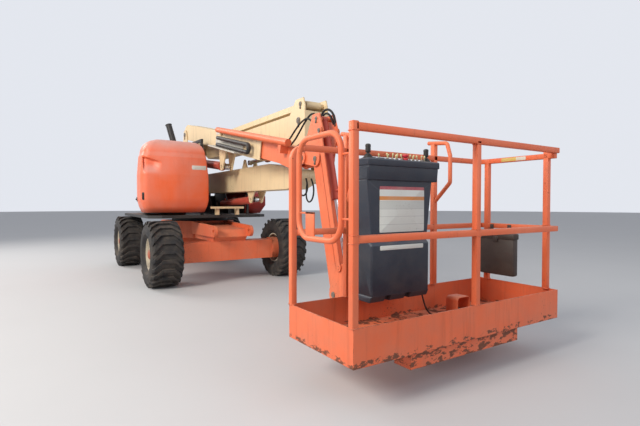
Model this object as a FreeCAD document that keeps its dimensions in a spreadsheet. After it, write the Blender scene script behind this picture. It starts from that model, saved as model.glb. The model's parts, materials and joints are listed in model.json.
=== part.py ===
"""Articulating boom lift, stowed: one solid or group of solids for each real piece.

Millimetres. X points along the stowed booms to the platform, Y to the machine's left,
Z up. The origin is on the floor, under the middle of the machine's length.
Every driving size is a cell of the sheet. Pieces are drawn about the slewing axis and
then moved back by swing_to_middle. Boom and jib pieces are drawn level in their own
frames, with X along the boom, and then tilted to the stowed pose.
"""
import FreeCAD, Part

import math
import os
from types import SimpleNamespace

V = FreeCAD.Vector

SIZES = (
    # chassis and wheels
    ("swing_to_middle", 1845), ("wheelbase", 2340), ("wheel_y", 872.5), ("axle_z", 420),
    ("tyre_radius", 420), ("tyre_width", 395), ("rim_radius", 210), ("disc_set", 54), ("lug_height", 26),
    ("lug_count", 22), ("lug_thick", 42), ("running_gap", 0.3), ("pin_gap", 3),
    ("axle_beam_width", 260), ("axle_beam_top", 550), ("axle_beam_bottom", 290),
    ("axle_beam_half", 640), ("chassis_half", 250), ("chassis_top", 800),
    ("chassis_plate", 20), ("lug_x", 1400), ("lug_z", 690), ("lug_radius", 75),
    ("lug_hole", 28), ("kingpin_y", 560), ("steer_beam_half_width", 75),
    ("kingpin_radius", 32), ("steer_beam_half_height", 90),
    # turntable and covers
    ("slew_radius", 430), ("slew_height", 60), ("deck_thick", 40), ("deck_front", 930),
    ("deck_rear", 1230), ("deck_half", 960), ("hood_front", 950), ("hood_rear", 1180),
    ("hood_outer", 1040), ("engine_hood_inner", 230), ("tank_hood_inner", 500),
    ("hood_bottom", 940), ("hood_band", 1100), ("hood_top", 1985), ("tank_hood_bottom", 860),
    ("tank_hood_top", 1560), ("hood_corner", 190), ("hood_crown", 170), ("hood_wall", 12),
    ("band_inset", 70), ("stack_radius", 38), ("stack_x", 240), ("stack_y", 640),
    ("stack_rise", 190), ("cover_rail", 30), ("cover_post", 40),
    # tower
    ("tower_y", 320), ("tower_half", 130), ("side_plate", 13), ("side_gap", 5),
    ("tower_length", 3200), ("tower_front", 2790), ("tower_base_z", 1370),
    ("lower_top", 180), ("lower_bottom", 140), ("lower_wall", 10), ("upright_rise", 590),
    ("upright_set", 70), ("mid_top", 90), ("mid_bottom", 160), ("link_rise", 170),
    ("link_set", 40), ("link_half", 34), ("tower_pin", 35),
    ("tower_ram_x", 150), ("tower_ram_z", 1060), ("tower_eye_x", 1450), ("tower_eye_z", 1120),
    ("ram_radius", 52), ("rod_radius", 28), ("rod_hold", 60), ("ram_wall", 25),
    ("tower_stroke", 560), ("upper_stroke", 310), ("lift_stroke", 650),
    ("upper_ram_x", 1250), ("upper_ram_z", 1635), ("upper_eye_x", 2660), ("upper_eye_z", 1680),
    # main boom, in its own frame from the boom pin
    ("boom_pin_x", -380), ("boom_pin_z", 2200), ("boom_angle", 11.5), ("boom_half", 110),
    ("boom_rise", 50), ("boom_deep", 120), ("boom_length", 2930), ("boom_wall", 9),
    ("boom_back", 60), ("fly_half", 88), ("fly_deep", 97), ("fly_length", 3620),
    ("lift_lug_x", 1655), ("lift_lug_drop", 235), ("lift_foot_x", -200),
    ("lift_foot_z", 1740), ("head_pin_x", 3830), ("head_pin_z", 60),
    # jib and its carriers
    ("jib_angle", 76), ("jib_length", 1220), ("jib_pin_x", 3600), ("jib_pin_z", 1470),
    ("jib_half", 68), ("jib_deep", 62), ("jib_wall", 8), ("jib_link_x", 90),
    ("jib_link_z", 244), ("jib_ram_x", 19), ("jib_ram_z", 360), ("jib_eye_along", 1050),
    ("jib_eye_rise", 125), ("jib_ram_radius", 34), ("rotator_x", 4300),
    ("rotator_radius", 75),
    # platform
    ("floor_z", 253), ("platform_front", 5280), ("platform_back", 4620),
    ("platform_half", 915), ("toe_height", 200), ("toe_thick", 8), ("rail_radius", 20),
    ("mid_rail_z", 890), ("top_rail_z", 1425), ("rail_bend", 90), ("gate_hinge_x", 5190),
    ("gate_length", 500), ("console_x", 4800), ("console_y", -120),
    ("post_right", -490), ("post_left", 400),
)


class Size:
    """A length or angle: its number now, and the sheet expression that gives it."""

    def __init__(self, value, text):
        self.value = float(value)
        self.text = text

    def joined(self, other, sign, swap=False):
        """Both numbers and both texts joined by one of + - * /."""
        a, b = sized(self), sized(other)
        if swap:
            a, b = b, a
        value = {"+": lambda: a.value + b.value, "-": lambda: a.value - b.value,
                 "*": lambda: a.value * b.value, "/": lambda: a.value / b.value}[sign]()
        return Size(value, "(%s %s %s)" % (a.text, sign, b.text))

    def __add__(self, other):
        return self.joined(other, "+")

    def __radd__(self, other):
        return self.joined(other, "+", True)

    def __sub__(self, other):
        return self.joined(other, "-")

    def __rsub__(self, other):
        return self.joined(other, "-", True)

    def __mul__(self, other):
        return self.joined(other, "*")

    def __rmul__(self, other):
        return self.joined(other, "*", True)

    def __truediv__(self, other):
        return self.joined(other, "/")

    def __neg__(self):
        return self * -1

    def __float__(self):
        return self.value


def sized(number):
    """A Size of a Size or a plain number."""
    if isinstance(number, Size):
        return number
    return Size(number, "%.9g" % number)


def cosine(angle):
    return Size(math.cos(math.radians(float(angle))), "cos(%s)" % sized(angle).text)


def sine(angle):
    return Size(math.sin(math.radians(float(angle))), "sin(%s)" % sized(angle).text)


def distance(across, rise):
    return Size(math.hypot(float(across), float(rise)),
                "hypot(%s; %s)" % (sized(across).text, sized(rise).text))


def slope(rise, across):
    """The angle of a line, in degrees."""
    return Size(math.degrees(math.atan2(float(rise), float(across))),
                "atan2(%s; %s) / 1 deg" % (sized(rise).text, sized(across).text))


doc = FreeCAD.newDocument("boom_lift")
sheet = doc.addObject("Spreadsheet::Sheet", "Sizes")
for row, (alias, number) in enumerate(SIZES, start=1):
    sheet.set("A%d" % row, alias)
    sheet.set("B%d" % row, str(number))
    sheet.setAlias("B%d" % row, alias)
doc.recompute()
s = SimpleNamespace(**{alias: Size(sheet.get(alias), "Sizes." + alias) for alias, _ in SIZES})

NODES = []
count = [0]


def fresh(kind, name):
    """A new document object with a name that no other object has."""
    count[0] += 1
    return doc.addObject(kind, "%s_%d" % (name, count[0]))


def bind(thing, prop, number):
    """Set a property to a plain number, or tie it to the sheet."""
    if isinstance(number, Size):
        thing.setExpression(prop, number.text)
    else:
        thing.setExpression(prop, sized(number).text)


def place(thing, x=0, y=0, z=0, tilt=None, axis=(0, 1, 0)):
    """Put an object at a point, turned by tilt degrees about the axis."""
    if tilt is not None:
        thing.Placement = FreeCAD.Placement(V(0, 0, 0), FreeCAD.Rotation(V(*axis), float(tilt)))
        if isinstance(tilt, Size):
            bind(thing, "Placement.Rotation.Angle", tilt)
    for prop, number in (("x", x), ("y", y), ("z", z)):
        bind(thing, "Placement.Base." + prop, number)
    return thing


PLANES = {"XY": ("XY_Plane", 1), "XZ": ("XZ_Plane", -1), "YZ": ("YZ_Plane", 1)}


def new_sketch(body, plane, at):
    """A sketch on one of the body's own planes, moved along its normal."""
    role, side = PLANES[plane]
    drawn = body.newObject("Sketcher::SketchObject", body.Name + "_sketch")
    base = [part for part in body.Origin.OriginFeatures if part.Role == role][0]
    drawn.AttachmentSupport = [(base, "")]
    drawn.MapMode = "FlatFace"
    bind(drawn, "AttachmentOffset.Base.z", sized(at) * side)
    return drawn


def fix_point(drawn, curve, point, across, rise):
    """Tie a point of a sketch to its two distances from the origin."""
    for kind, number in (("DistanceX", across), ("DistanceY", rise)):
        index = drawn.addConstraint(Part_constraint(kind, -1, 1, curve, point, float(number)))
        if isinstance(number, Size):
            drawn.setExpression("Constraints[%d]" % index, number.text)


def Part_constraint(*values):
    import Sketcher
    return Sketcher.Constraint(*values)


def draw_outline(drawn, outline):
    """A closed outline of straight lines whose corners are tied to the sheet."""
    corners = [V(float(a), float(b), 0) for a, b in outline]
    total = len(corners)
    for i in range(total):
        drawn.addGeometry(Part.LineSegment(corners[i], corners[(i + 1) % total]), False)
    for i in range(total):
        drawn.addConstraint(Part_constraint("Coincident", i, 2, (i + 1) % total, 1))
    for i, (across, rise) in enumerate(outline):
        fix_point(drawn, i, 1, across, rise)


def draw_circles(drawn, circles):
    """Circles, each given as across, rise and radius."""
    for i, (across, rise, radius) in enumerate(circles):
        ring = Part.Circle(V(float(across), float(rise), 0), V(0, 0, 1), float(radius))
        drawn.addGeometry(ring, False)
        fix_point(drawn, i, 3, across, rise)
        index = drawn.addConstraint(Part_constraint("Radius", i, float(radius)))
        if isinstance(radius, Size):
            drawn.setExpression("Constraints[%d]" % index, radius.text)


def pad(body, plane, at, deep, outline=None, circles=()):
    """Pad an outline or circles to both sides of a plane."""
    drawn = new_sketch(body, plane, at)
    if outline:
        draw_outline(drawn, outline)
    draw_circles(drawn, circles)
    grown = body.newObject("PartDesign::Pad", body.Name + "_pad")
    grown.Profile = drawn
    grown.SideType = "Symmetric"
    bind(grown, "Length", deep)
    return grown


def pocket(body, plane, at, deep, outline=None, circles=()):
    """Cut an outline or circles to both sides of a plane."""
    drawn = new_sketch(body, plane, at)
    if outline:
        draw_outline(drawn, outline)
    draw_circles(drawn, circles)
    taken = body.newObject("PartDesign::Pocket", body.Name + "_pocket")
    taken.Profile = drawn
    taken.SideType = "Symmetric"
    bind(taken, "Length", deep)
    return taken


def prism(name, plane, at, deep, outline, bosses=(), holes=(), windows=()):
    """A plate or bar: an outline padded both ways, with round bosses, holes and windows."""
    body = fresh("PartDesign::Body", name)
    if outline:
        pad(body, plane, at, deep, outline)
    for boss in bosses:
        pad(body, plane, at, deep, None, (boss,))
    if holes:
        pocket(body, plane, at, sized(deep) + 2, None, holes)
    for window in windows:
        pocket(body, plane, at, sized(deep) + 2, window)
    return body


def turned(name, plane, outline):
    """A solid of revolution about the sketch's horizontal axis: X on XZ, Y on YZ."""
    body = fresh("PartDesign::Body", name)
    drawn = new_sketch(body, plane, 0)
    draw_outline(drawn, outline)
    spun = body.newObject("PartDesign::Revolution", body.Name + "_spun")
    spun.Profile = drawn
    spun.ReferenceAxis = (drawn, ["H_Axis"])
    spun.Angle = 360
    return body


def box(name, x, y, z):
    """A box from its lowest and highest X, Y and Z."""
    made = fresh("Part::Box", name)
    for prop, (low, high) in (("Length", x), ("Width", y), ("Height", z)):
        bind(made, prop, sized(high) - low)
    return place(made, x[0], y[0], z[0])


DIRECTIONS = {"X": ((0, 1, 0), 90), "Y": ((1, 0, 0), -90), "Z": ((0, 0, 1), 0)}


def rod(name, along, radius, start, x=0, y=0, z=0, length=0):
    """A round bar along X, Y or Z. start is the lowest coordinate along it."""
    made = fresh("Part::Cylinder", name)
    bind(made, "Radius", radius)
    bind(made, "Height", length)
    axis, turn = DIRECTIONS[along]
    made.Placement = FreeCAD.Placement(V(0, 0, 0), FreeCAD.Rotation(V(*axis), turn))
    spot = {"X": (start, y, z), "Y": (x, start, z), "Z": (x, y, start)}[along]
    for prop, number in zip("xyz", spot):
        bind(made, "Placement.Base." + prop, number)
    return made


def fuse(name, pieces):
    made = fresh("Part::MultiFuse", name)
    made.Shapes = pieces
    made.Refine = True
    return made


def group(name, pieces):
    """Like pieces that don't touch, kept as one node."""
    made = fresh("Part::Compound", name)
    made.Links = pieces
    return made


def cut(name, base, tool):
    made = fresh("Part::Cut", name)
    made.Base = base
    made.Tool = tool
    made.Refine = True
    return made


def shaped(name, shape):
    """A piece whose shape Part's own functions make."""
    made = fresh("Part::Feature", name)
    made.Shape = shape
    return made


def bent_tube(points, radius, bend):
    """A round tube along straight runs joined by tangent arcs, closed if it ends at its start."""
    spots = [V(*[float(c) for c in point]) for point in points]
    closed = (spots[0] - spots[-1]).Length < 0.001
    if closed:
        spots = spots[:-1]
    total = len(spots)
    corners = range(total) if closed else range(1, total - 1)
    entry, leave, middle = {}, {}, {}
    for i in corners:
        before = (spots[i - 1] - spots[i]).normalize()
        after = (spots[(i + 1) % total] - spots[i]).normalize()
        half = before.getAngle(after) / 2
        back = float(bend) / math.tan(half)
        entry[i] = spots[i] + before * back
        leave[i] = spots[i] + after * back
        inward = (before + after).normalize()
        middle[i] = spots[i] + inward * (float(bend) / math.sin(half) - float(bend))
    edges = []
    runs = range(total) if closed else range(total - 1)
    for i in runs:
        j = (i + 1) % total
        start = leave.get(i, spots[i])
        end = entry.get(j, spots[j])
        if (end - start).Length > 0.01:
            edges.append(Part.LineSegment(start, end).toShape())
        if j in middle:
            edges.append(Part.Arc(entry[j], middle[j], leave[j]).toShape())
    spine = Part.Wire(Part.__sortEdges__(edges))
    first = spine.OrderedEdges[0]
    origin = first.valueAt(first.FirstParameter)
    heading = first.tangentAt(first.FirstParameter)
    ring = Part.Wire([Part.makeCircle(float(radius), origin, heading)])
    return spine.makePipeShell([ring], True, True)


def node(thing, label, frame="machine"):
    """Name a finished sub-part and seat it in its frame."""
    thing.Label = label
    if frame == "boom":
        place(thing, s.boom_pin_x - s.swing_to_middle, 0, s.boom_pin_z, s.boom_angle)
    elif frame == "jib":
        place(thing, s.jib_pin_x - s.swing_to_middle, 0, s.jib_pin_z, s.jib_angle)
    elif frame == "machine":
        place(thing, -s.swing_to_middle)
    NODES.append(thing)
    return thing


def from_boom(x, z):
    """A point of the tilted boom's own frame, in the machine's frame."""
    return (s.boom_pin_x + cosine(s.boom_angle) * x + sine(s.boom_angle) * z,
            s.boom_pin_z - sine(s.boom_angle) * x + cosine(s.boom_angle) * z)


def from_jib(x, z):
    """A point of the hanging jib's own frame, in the machine's frame."""
    return (s.jib_pin_x + cosine(s.jib_angle) * x + sine(s.jib_angle) * z,
            s.jib_pin_z - sine(s.jib_angle) * x + cosine(s.jib_angle) * z)


# Tyres: a turned carcass with a bar tread, straight in the middle and raked at the shoulders

def tyre_shape(side):
    """One flotation tyre about the Y axis; side is 1 or -1 for the way the bars point."""
    half = float(s.tyre_width) / 2
    outer = float(s.tyre_radius)
    floor = outer - float(s.lug_height)
    bead = float(s.rim_radius)
    profile = ((-half * 0.76, bead), (-half * 0.97, bead + 45), (-half, (bead + floor) / 2),
               (-half * 0.94, floor - 26), (-half * 0.78, floor), (half * 0.78, floor),
               (half * 0.94, floor - 26), (half, (bead + floor) / 2), (half * 0.97, bead + 45),
               (half * 0.76, bead))
    points = [V(0, y, r) for y, r in profile]
    face = Part.Face(Part.makePolygon(points + points[:1]))
    carcass = face.revolve(V(0, 0, 0), V(0, 1, 0), 360)
    thick = float(s.lug_thick) / 2
    rake = half * 0.62
    knee = half * 0.36
    outline = ((-half * 0.985, rake + thick), (-knee, thick), (knee, thick),
               (half * 0.985, rake + thick), (half * 0.985, rake - thick), (knee, -thick),
               (-knee, -thick), (-half * 0.985, rake - thick))
    spots = [V(x * side, y, outer - 62) for y, x in outline]
    if side < 0:
        spots.reverse()
    bar = Part.Face(Part.makePolygon(spots + spots[:1])).extrude(V(0, 0, 62))
    shoulder = [V(0, y, r) for y, r in ((-half, outer - 60), (-half * 0.86, outer),
                                        (half * 0.86, outer), (half, outer - 60))]
    trim = Part.Face(Part.makePolygon(shoulder + shoulder[:1])).revolve(V(0, 0, 0), V(0, 1, 0), 360)
    bar = bar.common(trim)
    total = int(float(s.lug_count))
    bars = []
    for i in range(total):
        turned_bar = bar.copy()
        turned_bar.rotate(V(0, 0, 0), V(0, 1, 0), 360.0 * i / total)
        bars.append(turned_bar)
    return carcass.multiFuse(bars)


def rim(name, side):
    """A dished wheel disc and barrel, open to the inside; side is 1 on the left."""
    half = s.tyre_width * 0.38
    radius = s.rim_radius - s.running_gap
    outline = ((half * side, radius), (half * side, radius - 14),
               ((half - 40) * side, radius - 22), ((half - 60) * side, 130),
               ((half - 52) * side, 82), ((half - 20) * side, 74), ((half - 14) * side, 0),
               (s.disc_set * side, 0), (s.disc_set * side, 105),
               ((half - 84) * side, radius - 36), (-half * side, radius - 14),
               (-half * side, radius))
    return turned(name, "YZ", outline)


def wheels():
    """Four wheels; the far pair at -X is steered."""
    for end, x in (("front", s.wheelbase / 2), ("rear", -s.wheelbase / 2)):
        for hand, side in (("left", 1), ("right", -1)):
            tyre = shaped("tyre", tyre_shape(1))
            node(tyre, "tyre_%s_%s" % (end, hand), None)
            place(tyre, x - s.swing_to_middle, s.wheel_y * side, s.axle_z)
            disc = rim("rim", side)
            node(disc, "rim_%s_%s" % (end, hand), None)
            place(disc, x - s.swing_to_middle, s.wheel_y * side, s.axle_z)


# Chassis: sloping side plates to the tie-down lugs, a decked box and two axles

def chassis():
    half = s.chassis_half
    deck_end = s.slew_radius + 40
    low = s.axle_beam_top
    under = low
    side_outline = ((-s.lug_x, s.lug_z - s.lug_radius), (s.lug_x, s.lug_z - s.lug_radius),
                    (s.lug_x, s.lug_z + s.lug_radius), (deck_end, s.chassis_top),
                    (-deck_end, s.chassis_top), (-s.lug_x, s.lug_z + s.lug_radius))
    pieces = []
    for side in (-1, 1):
        pieces.append(prism(
            "side", "XZ", half * side, s.chassis_plate * 2, side_outline,
            bosses=((s.lug_x, s.lug_z, s.lug_radius), (-s.lug_x, s.lug_z, s.lug_radius)),
            holes=((s.lug_x, s.lug_z, s.lug_hole), (-s.lug_x, s.lug_z, s.lug_hole))))
    inner = half - s.chassis_plate
    cover = prism("cover", "XZ", 0, inner * 2 + 2, (
        (-s.lug_x + 120, under), (s.lug_x - 120, under), (s.lug_x - 60, low + 60),
        (s.lug_x - 120, s.lug_z + 20), (deck_end, s.chassis_top - 30),
        (-deck_end, s.chassis_top - 30), (-s.lug_x + 120, s.lug_z + 20),
        (-s.lug_x + 60, low + 60)))
    pieces.append(cover)
    skirt = prism("skirt", "XY", (s.chassis_top + under) / 2, s.chassis_top - under, (
        (-deck_end, -half), (-deck_end * 0.55, -s.slew_radius - 30),
        (deck_end * 0.55, -s.slew_radius - 30), (deck_end, -half), (deck_end, half),
        (deck_end * 0.55, s.slew_radius + 30), (-deck_end * 0.55, s.slew_radius + 30),
        (-deck_end, half)))
    pieces.append(skirt)
    pieces.append(box("saddle", (-s.wheelbase / 2 - 110, -s.wheelbase / 2 + 110),
                      (-inner, inner), (s.axle_z + s.steer_beam_half_height, s.lug_z)))
    pieces.append(box("seat", (s.wheelbase / 2 - 120, s.wheelbase / 2 + 120),
                      (-inner, inner), (s.axle_beam_top, s.lug_z - 40)))
    whole = fuse("chassis", pieces)
    node(whole, "chassis_frame")


def axles():
    """A plain box beam on the drive end, and a beam with forked ends on the steer end."""
    x = s.wheelbase / 2
    half = s.axle_beam_width / 2
    beam = box("beam", (x - half, x + half), (-s.axle_beam_half, s.axle_beam_half),
               (s.axle_beam_bottom, s.axle_beam_top))
    hubs = []
    seat = s.wheel_y + s.disc_set - s.running_gap
    for side in (-1, 1):
        low = s.axle_beam_half if side > 0 else -s.axle_beam_half - 120
        hubs.append(rod("hub", "Y", 150, low, x=x, z=s.axle_z, length=120))
        low = s.axle_beam_half if side > 0 else -seat
        hubs.append(rod("hub_nose", "Y", 92, low, x=x, z=s.axle_z, length=seat - s.axle_beam_half))
    node(fuse("drive", [beam] + hubs), "drive_axle")
    rear = -s.wheelbase / 2
    inner = s.kingpin_y - 75
    middle = box("steer_beam", (rear - s.steer_beam_half_width, rear + s.steer_beam_half_width),
                 (-inner, inner), (s.axle_z - s.steer_beam_half_height,
                                   s.axle_z + s.steer_beam_half_height))
    pieces = [middle]
    for side in (-1, 1):
        for level in (-1, 1):
            middle_z = s.axle_z + (s.steer_beam_half_height - 14) * level
            far = s.kingpin_y * side
            near = (inner - 10) * side
            ear = prism("ear", "XY", middle_z, 28, (
                (rear - 50, near), (rear + 50, near), (rear + 50, far), (rear - 50, far)),
                bosses=((rear, far, 50),),
                holes=((rear, far, s.kingpin_radius),))
            pieces.append(ear)
    node(fuse("steer", pieces), "steer_axle")
    for hand, side in (("left", 1), ("right", -1)):
        y = s.kingpin_y * side
        reach = s.wheel_y - s.kingpin_y - 82
        gap = s.steer_beam_half_height - 28 - s.pin_gap * 2
        low = y if side > 0 else y - reach
        pin = rod("kingpin", "Z", s.kingpin_radius - s.running_gap,
                  s.axle_z - s.steer_beam_half_height, x=rear, y=y,
                  length=s.steer_beam_half_height * 2)
        boss = rod("boss", "Z", 48, s.axle_z - gap, x=rear, y=y, length=gap * 2)
        hub = rod("spindle", "Y", 60, low, x=rear, z=s.axle_z, length=reach)
        flange_low = s.wheel_y - 82 if side > 0 else -seat
        flange = rod("flange", "Y", 92, flange_low, x=rear, z=s.axle_z,
                     length=seat - s.wheel_y + 82)
        node(fuse("knuckle", [pin, boss, hub, flange]), "knuckle_" + hand)


# Turntable: slewing ring, deck, riser base, counterweight, engine and covers

def turntable():
    base_z = s.chassis_top
    deck_z = base_z + s.slew_height
    ring = prism("ring", "XY", base_z + (s.slew_height + s.running_gap) / 2,
                 s.slew_height - s.running_gap, None, bosses=((0, 0, s.slew_radius),))
    node(ring, "slew_ring")
    front, rear, half = s.deck_front, s.deck_rear, s.deck_half
    deck = prism("deck", "XY", deck_z + s.deck_thick / 2, s.deck_thick, (
        (-rear, -half + 260), (-rear + 200, -half), (front - 140, -half),
        (front - 30, -half + 160), (front - 30, half - 330), (front - 140, half - 200),
        (-rear + 200, half - 60), (-rear, half - 260)))
    top = deck_z + s.deck_thick
    pin_x = s.tower_front - s.tower_length
    plates = []
    for side in (-1, 1):
        middle = s.tower_y + (s.tower_half + s.side_gap + s.side_plate / 2) * side
        plates.append(prism("riser", "XZ", middle, s.side_plate, (
            (pin_x - 210, top - 5), (pin_x + 560, top - 5), (pin_x + 330, s.tower_base_z - 150),
            (pin_x + 85, s.tower_base_z), (pin_x - 85, s.tower_base_z),
            (pin_x - 210, s.tower_base_z - 160)),
            bosses=((pin_x, s.tower_base_z, 85),)))
    middle_y = s.tower_y
    inside = s.tower_half + s.side_gap
    back = box("riser_back", (pin_x - 210, pin_x - 195), (middle_y - inside - 1, middle_y + inside + 1),
               (top - 5, s.tower_base_z - 170))
    pin = rod("riser_pin", "Y", s.tower_pin - s.running_gap, s.tower_y - inside - s.side_plate,
              x=pin_x, z=s.tower_base_z, length=(inside + s.side_plate) * 2)
    feet = []
    for side in (-1, 1):
        spot = s.tower_y + 78 * side
        feet.append(prism("ram_foot", "XZ", spot, 16, (
            (s.tower_ram_x - 90, top - 5), (s.tower_ram_x + 90, top - 5),
            (s.tower_ram_x + 45, s.tower_ram_z), (s.tower_ram_x - 45, s.tower_ram_z)),
            bosses=((s.tower_ram_x, s.tower_ram_z, 45),)))
    foot_pin = rod("foot_pin", "Y", 22 - s.running_gap, s.tower_y - 86, x=s.tower_ram_x,
                   z=s.tower_ram_z, length=172)
    weight = prism("weight", "XY", top + 200, 402, (
        (-rear, -180), (-rear, 440), (-rear + 150, 440), (-rear + 150, -180)))
    frames = cover_frame(-s.engine_hood_inner, 1, s.hood_top, top)
    frames += cover_frame(s.tank_hood_inner, -1, s.tank_hood_top, top)
    frame = fuse("turntable", [deck, back, pin, foot_pin, weight] + plates + feet + frames)
    node(frame, "turntable_frame")
    engine = prism("engine", "XY", top + 325, 650, (
        (-900, -880), (420, -880), (520, -780), (520, -340), (-900, -340)))
    node(engine, "engine_block")
    tank = prism("tank", "XY", top + 229, 458, ((-700, 590), (620, 590), (620, 900), (-700, 900)))
    node(tank, "fluid_tank")
    rest = fuse("rest", [
        box("rest_bar", (front + 15, front + 45), (-150, 340), (top + 90, top + 120)),
        box("rest_post", (front - 60, front + 16), (-60, -20), (top, top + 120)),
        box("rest_post", (front - 60, front + 16), (240, 280), (top, top + 120))])
    node(rest, "front_guard_bar")


def cover_frame(edge, side, rail_top, foot):
    """The posts and rail that a cover hinges on, just inside its open edge."""
    near = edge + s.running_gap * side
    far = near + s.cover_rail * side
    y = (near, far) if side > 0 else (far, near)
    front, rear = s.hood_front - 160, -s.hood_rear + 200
    return [box("rail", (rear, front), y, (rail_top - s.cover_post, rail_top)),
            box("post", (rear, rear + s.cover_post), y, (foot - 2, rail_top - 1)),
            box("post", (front - s.cover_post, front), y, (foot - 2, rail_top - 1))]


def hood_solid(low_y, high_y, bottom, band, top, inset, open_side):
    """One cover: a bevelled lower band, upright walls and a crowned top edge."""
    front = float(s.hood_front) - inset
    rear = -float(s.hood_rear) + inset
    near = float(low_y) + inset
    far = float(high_y) - inset
    if open_side > 0:
        far = float(high_y) + (1 if inset else 0)
    else:
        near = float(low_y) - (1 if inset else 0)
    corner = float(s.hood_corner) - inset
    drawn_in = float(s.band_inset)

    def ring(z, shrink):
        a, b = rear + shrink, front - shrink
        c = near + (shrink if open_side > 0 else 0)
        d = far - (shrink if open_side < 0 else 0)
        r = corner
        flat = 1 - math.cos(math.radians(45))
        if open_side > 0:
            return Part.Wire([
                Part.LineSegment(V(a, d, z), V(a, c + r, z)).toShape(),
                Part.Arc(V(a, c + r, z), V(a + r * flat, c + r * flat, z), V(a + r, c, z)).toShape(),
                Part.LineSegment(V(a + r, c, z), V(b - r, c, z)).toShape(),
                Part.Arc(V(b - r, c, z), V(b - r * flat, c + r * flat, z), V(b, c + r, z)).toShape(),
                Part.LineSegment(V(b, c + r, z), V(b, d, z)).toShape(),
                Part.LineSegment(V(b, d, z), V(a, d, z)).toShape()])
        return Part.Wire([
            Part.LineSegment(V(a, c, z), V(b, c, z)).toShape(),
            Part.LineSegment(V(b, c, z), V(b, d - r, z)).toShape(),
            Part.Arc(V(b, d - r, z), V(b - r * flat, d - r * flat, z), V(b - r, d, z)).toShape(),
            Part.LineSegment(V(b - r, d, z), V(a + r, d, z)).toShape(),
            Part.Arc(V(a + r, d, z), V(a + r * flat, d - r * flat, z), V(a, d - r, z)).toShape(),
            Part.LineSegment(V(a, d - r, z), V(a, c, z)).toShape()])

    low = float(bottom) - (1 if inset else 0)
    crown = float(top) - inset
    solid = Part.makeLoft([ring(low, drawn_in), ring(float(band), 0), ring(crown, 0)], True, True)
    round_by = float(s.hood_crown) - inset
    edges = []
    for edge in solid.Edges:
        level = edge.BoundBox
        if abs(level.ZMin - crown) > 0.1 or abs(level.ZMax - crown) > 0.1:
            continue
        open_edge = abs(level.YMin - (far if open_side > 0 else near)) < 0.1
        if open_edge and level.YLength < 0.1:
            continue
        edges.append(edge)
    return solid.makeFillet(round_by, edges)


def covers():
    """Both covers are shells, open below and towards the booms."""
    wall = float(s.hood_wall)
    for label, low_y, high_y, bottom, top, side in (
            ("engine_hood", -s.hood_outer, -s.engine_hood_inner, s.hood_bottom, s.hood_top, 1),
            ("tank_hood", s.tank_hood_inner, s.hood_outer - 20, s.tank_hood_bottom + 50,
             s.tank_hood_top, -1)):
        outer = hood_solid(low_y, high_y, bottom, s.hood_band, top, 0, side)
        inner = hood_solid(low_y, high_y, bottom, s.hood_band, top, wall, side)
        node(shaped("hood", outer.cut(inner)), label)
    top = s.hood_top
    stack = bent_tube(((s.stack_x, -s.stack_y, top + 0.5), (s.stack_x, -s.stack_y, top + 70),
                       (s.stack_x - 60, -s.stack_y, top + s.stack_rise)), s.stack_radius, 120)
    node(shaped("stack", stack), "exhaust_stack")


# Tower: lower boom, front upright, mid boom with its link, rear upright and two rams

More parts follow.
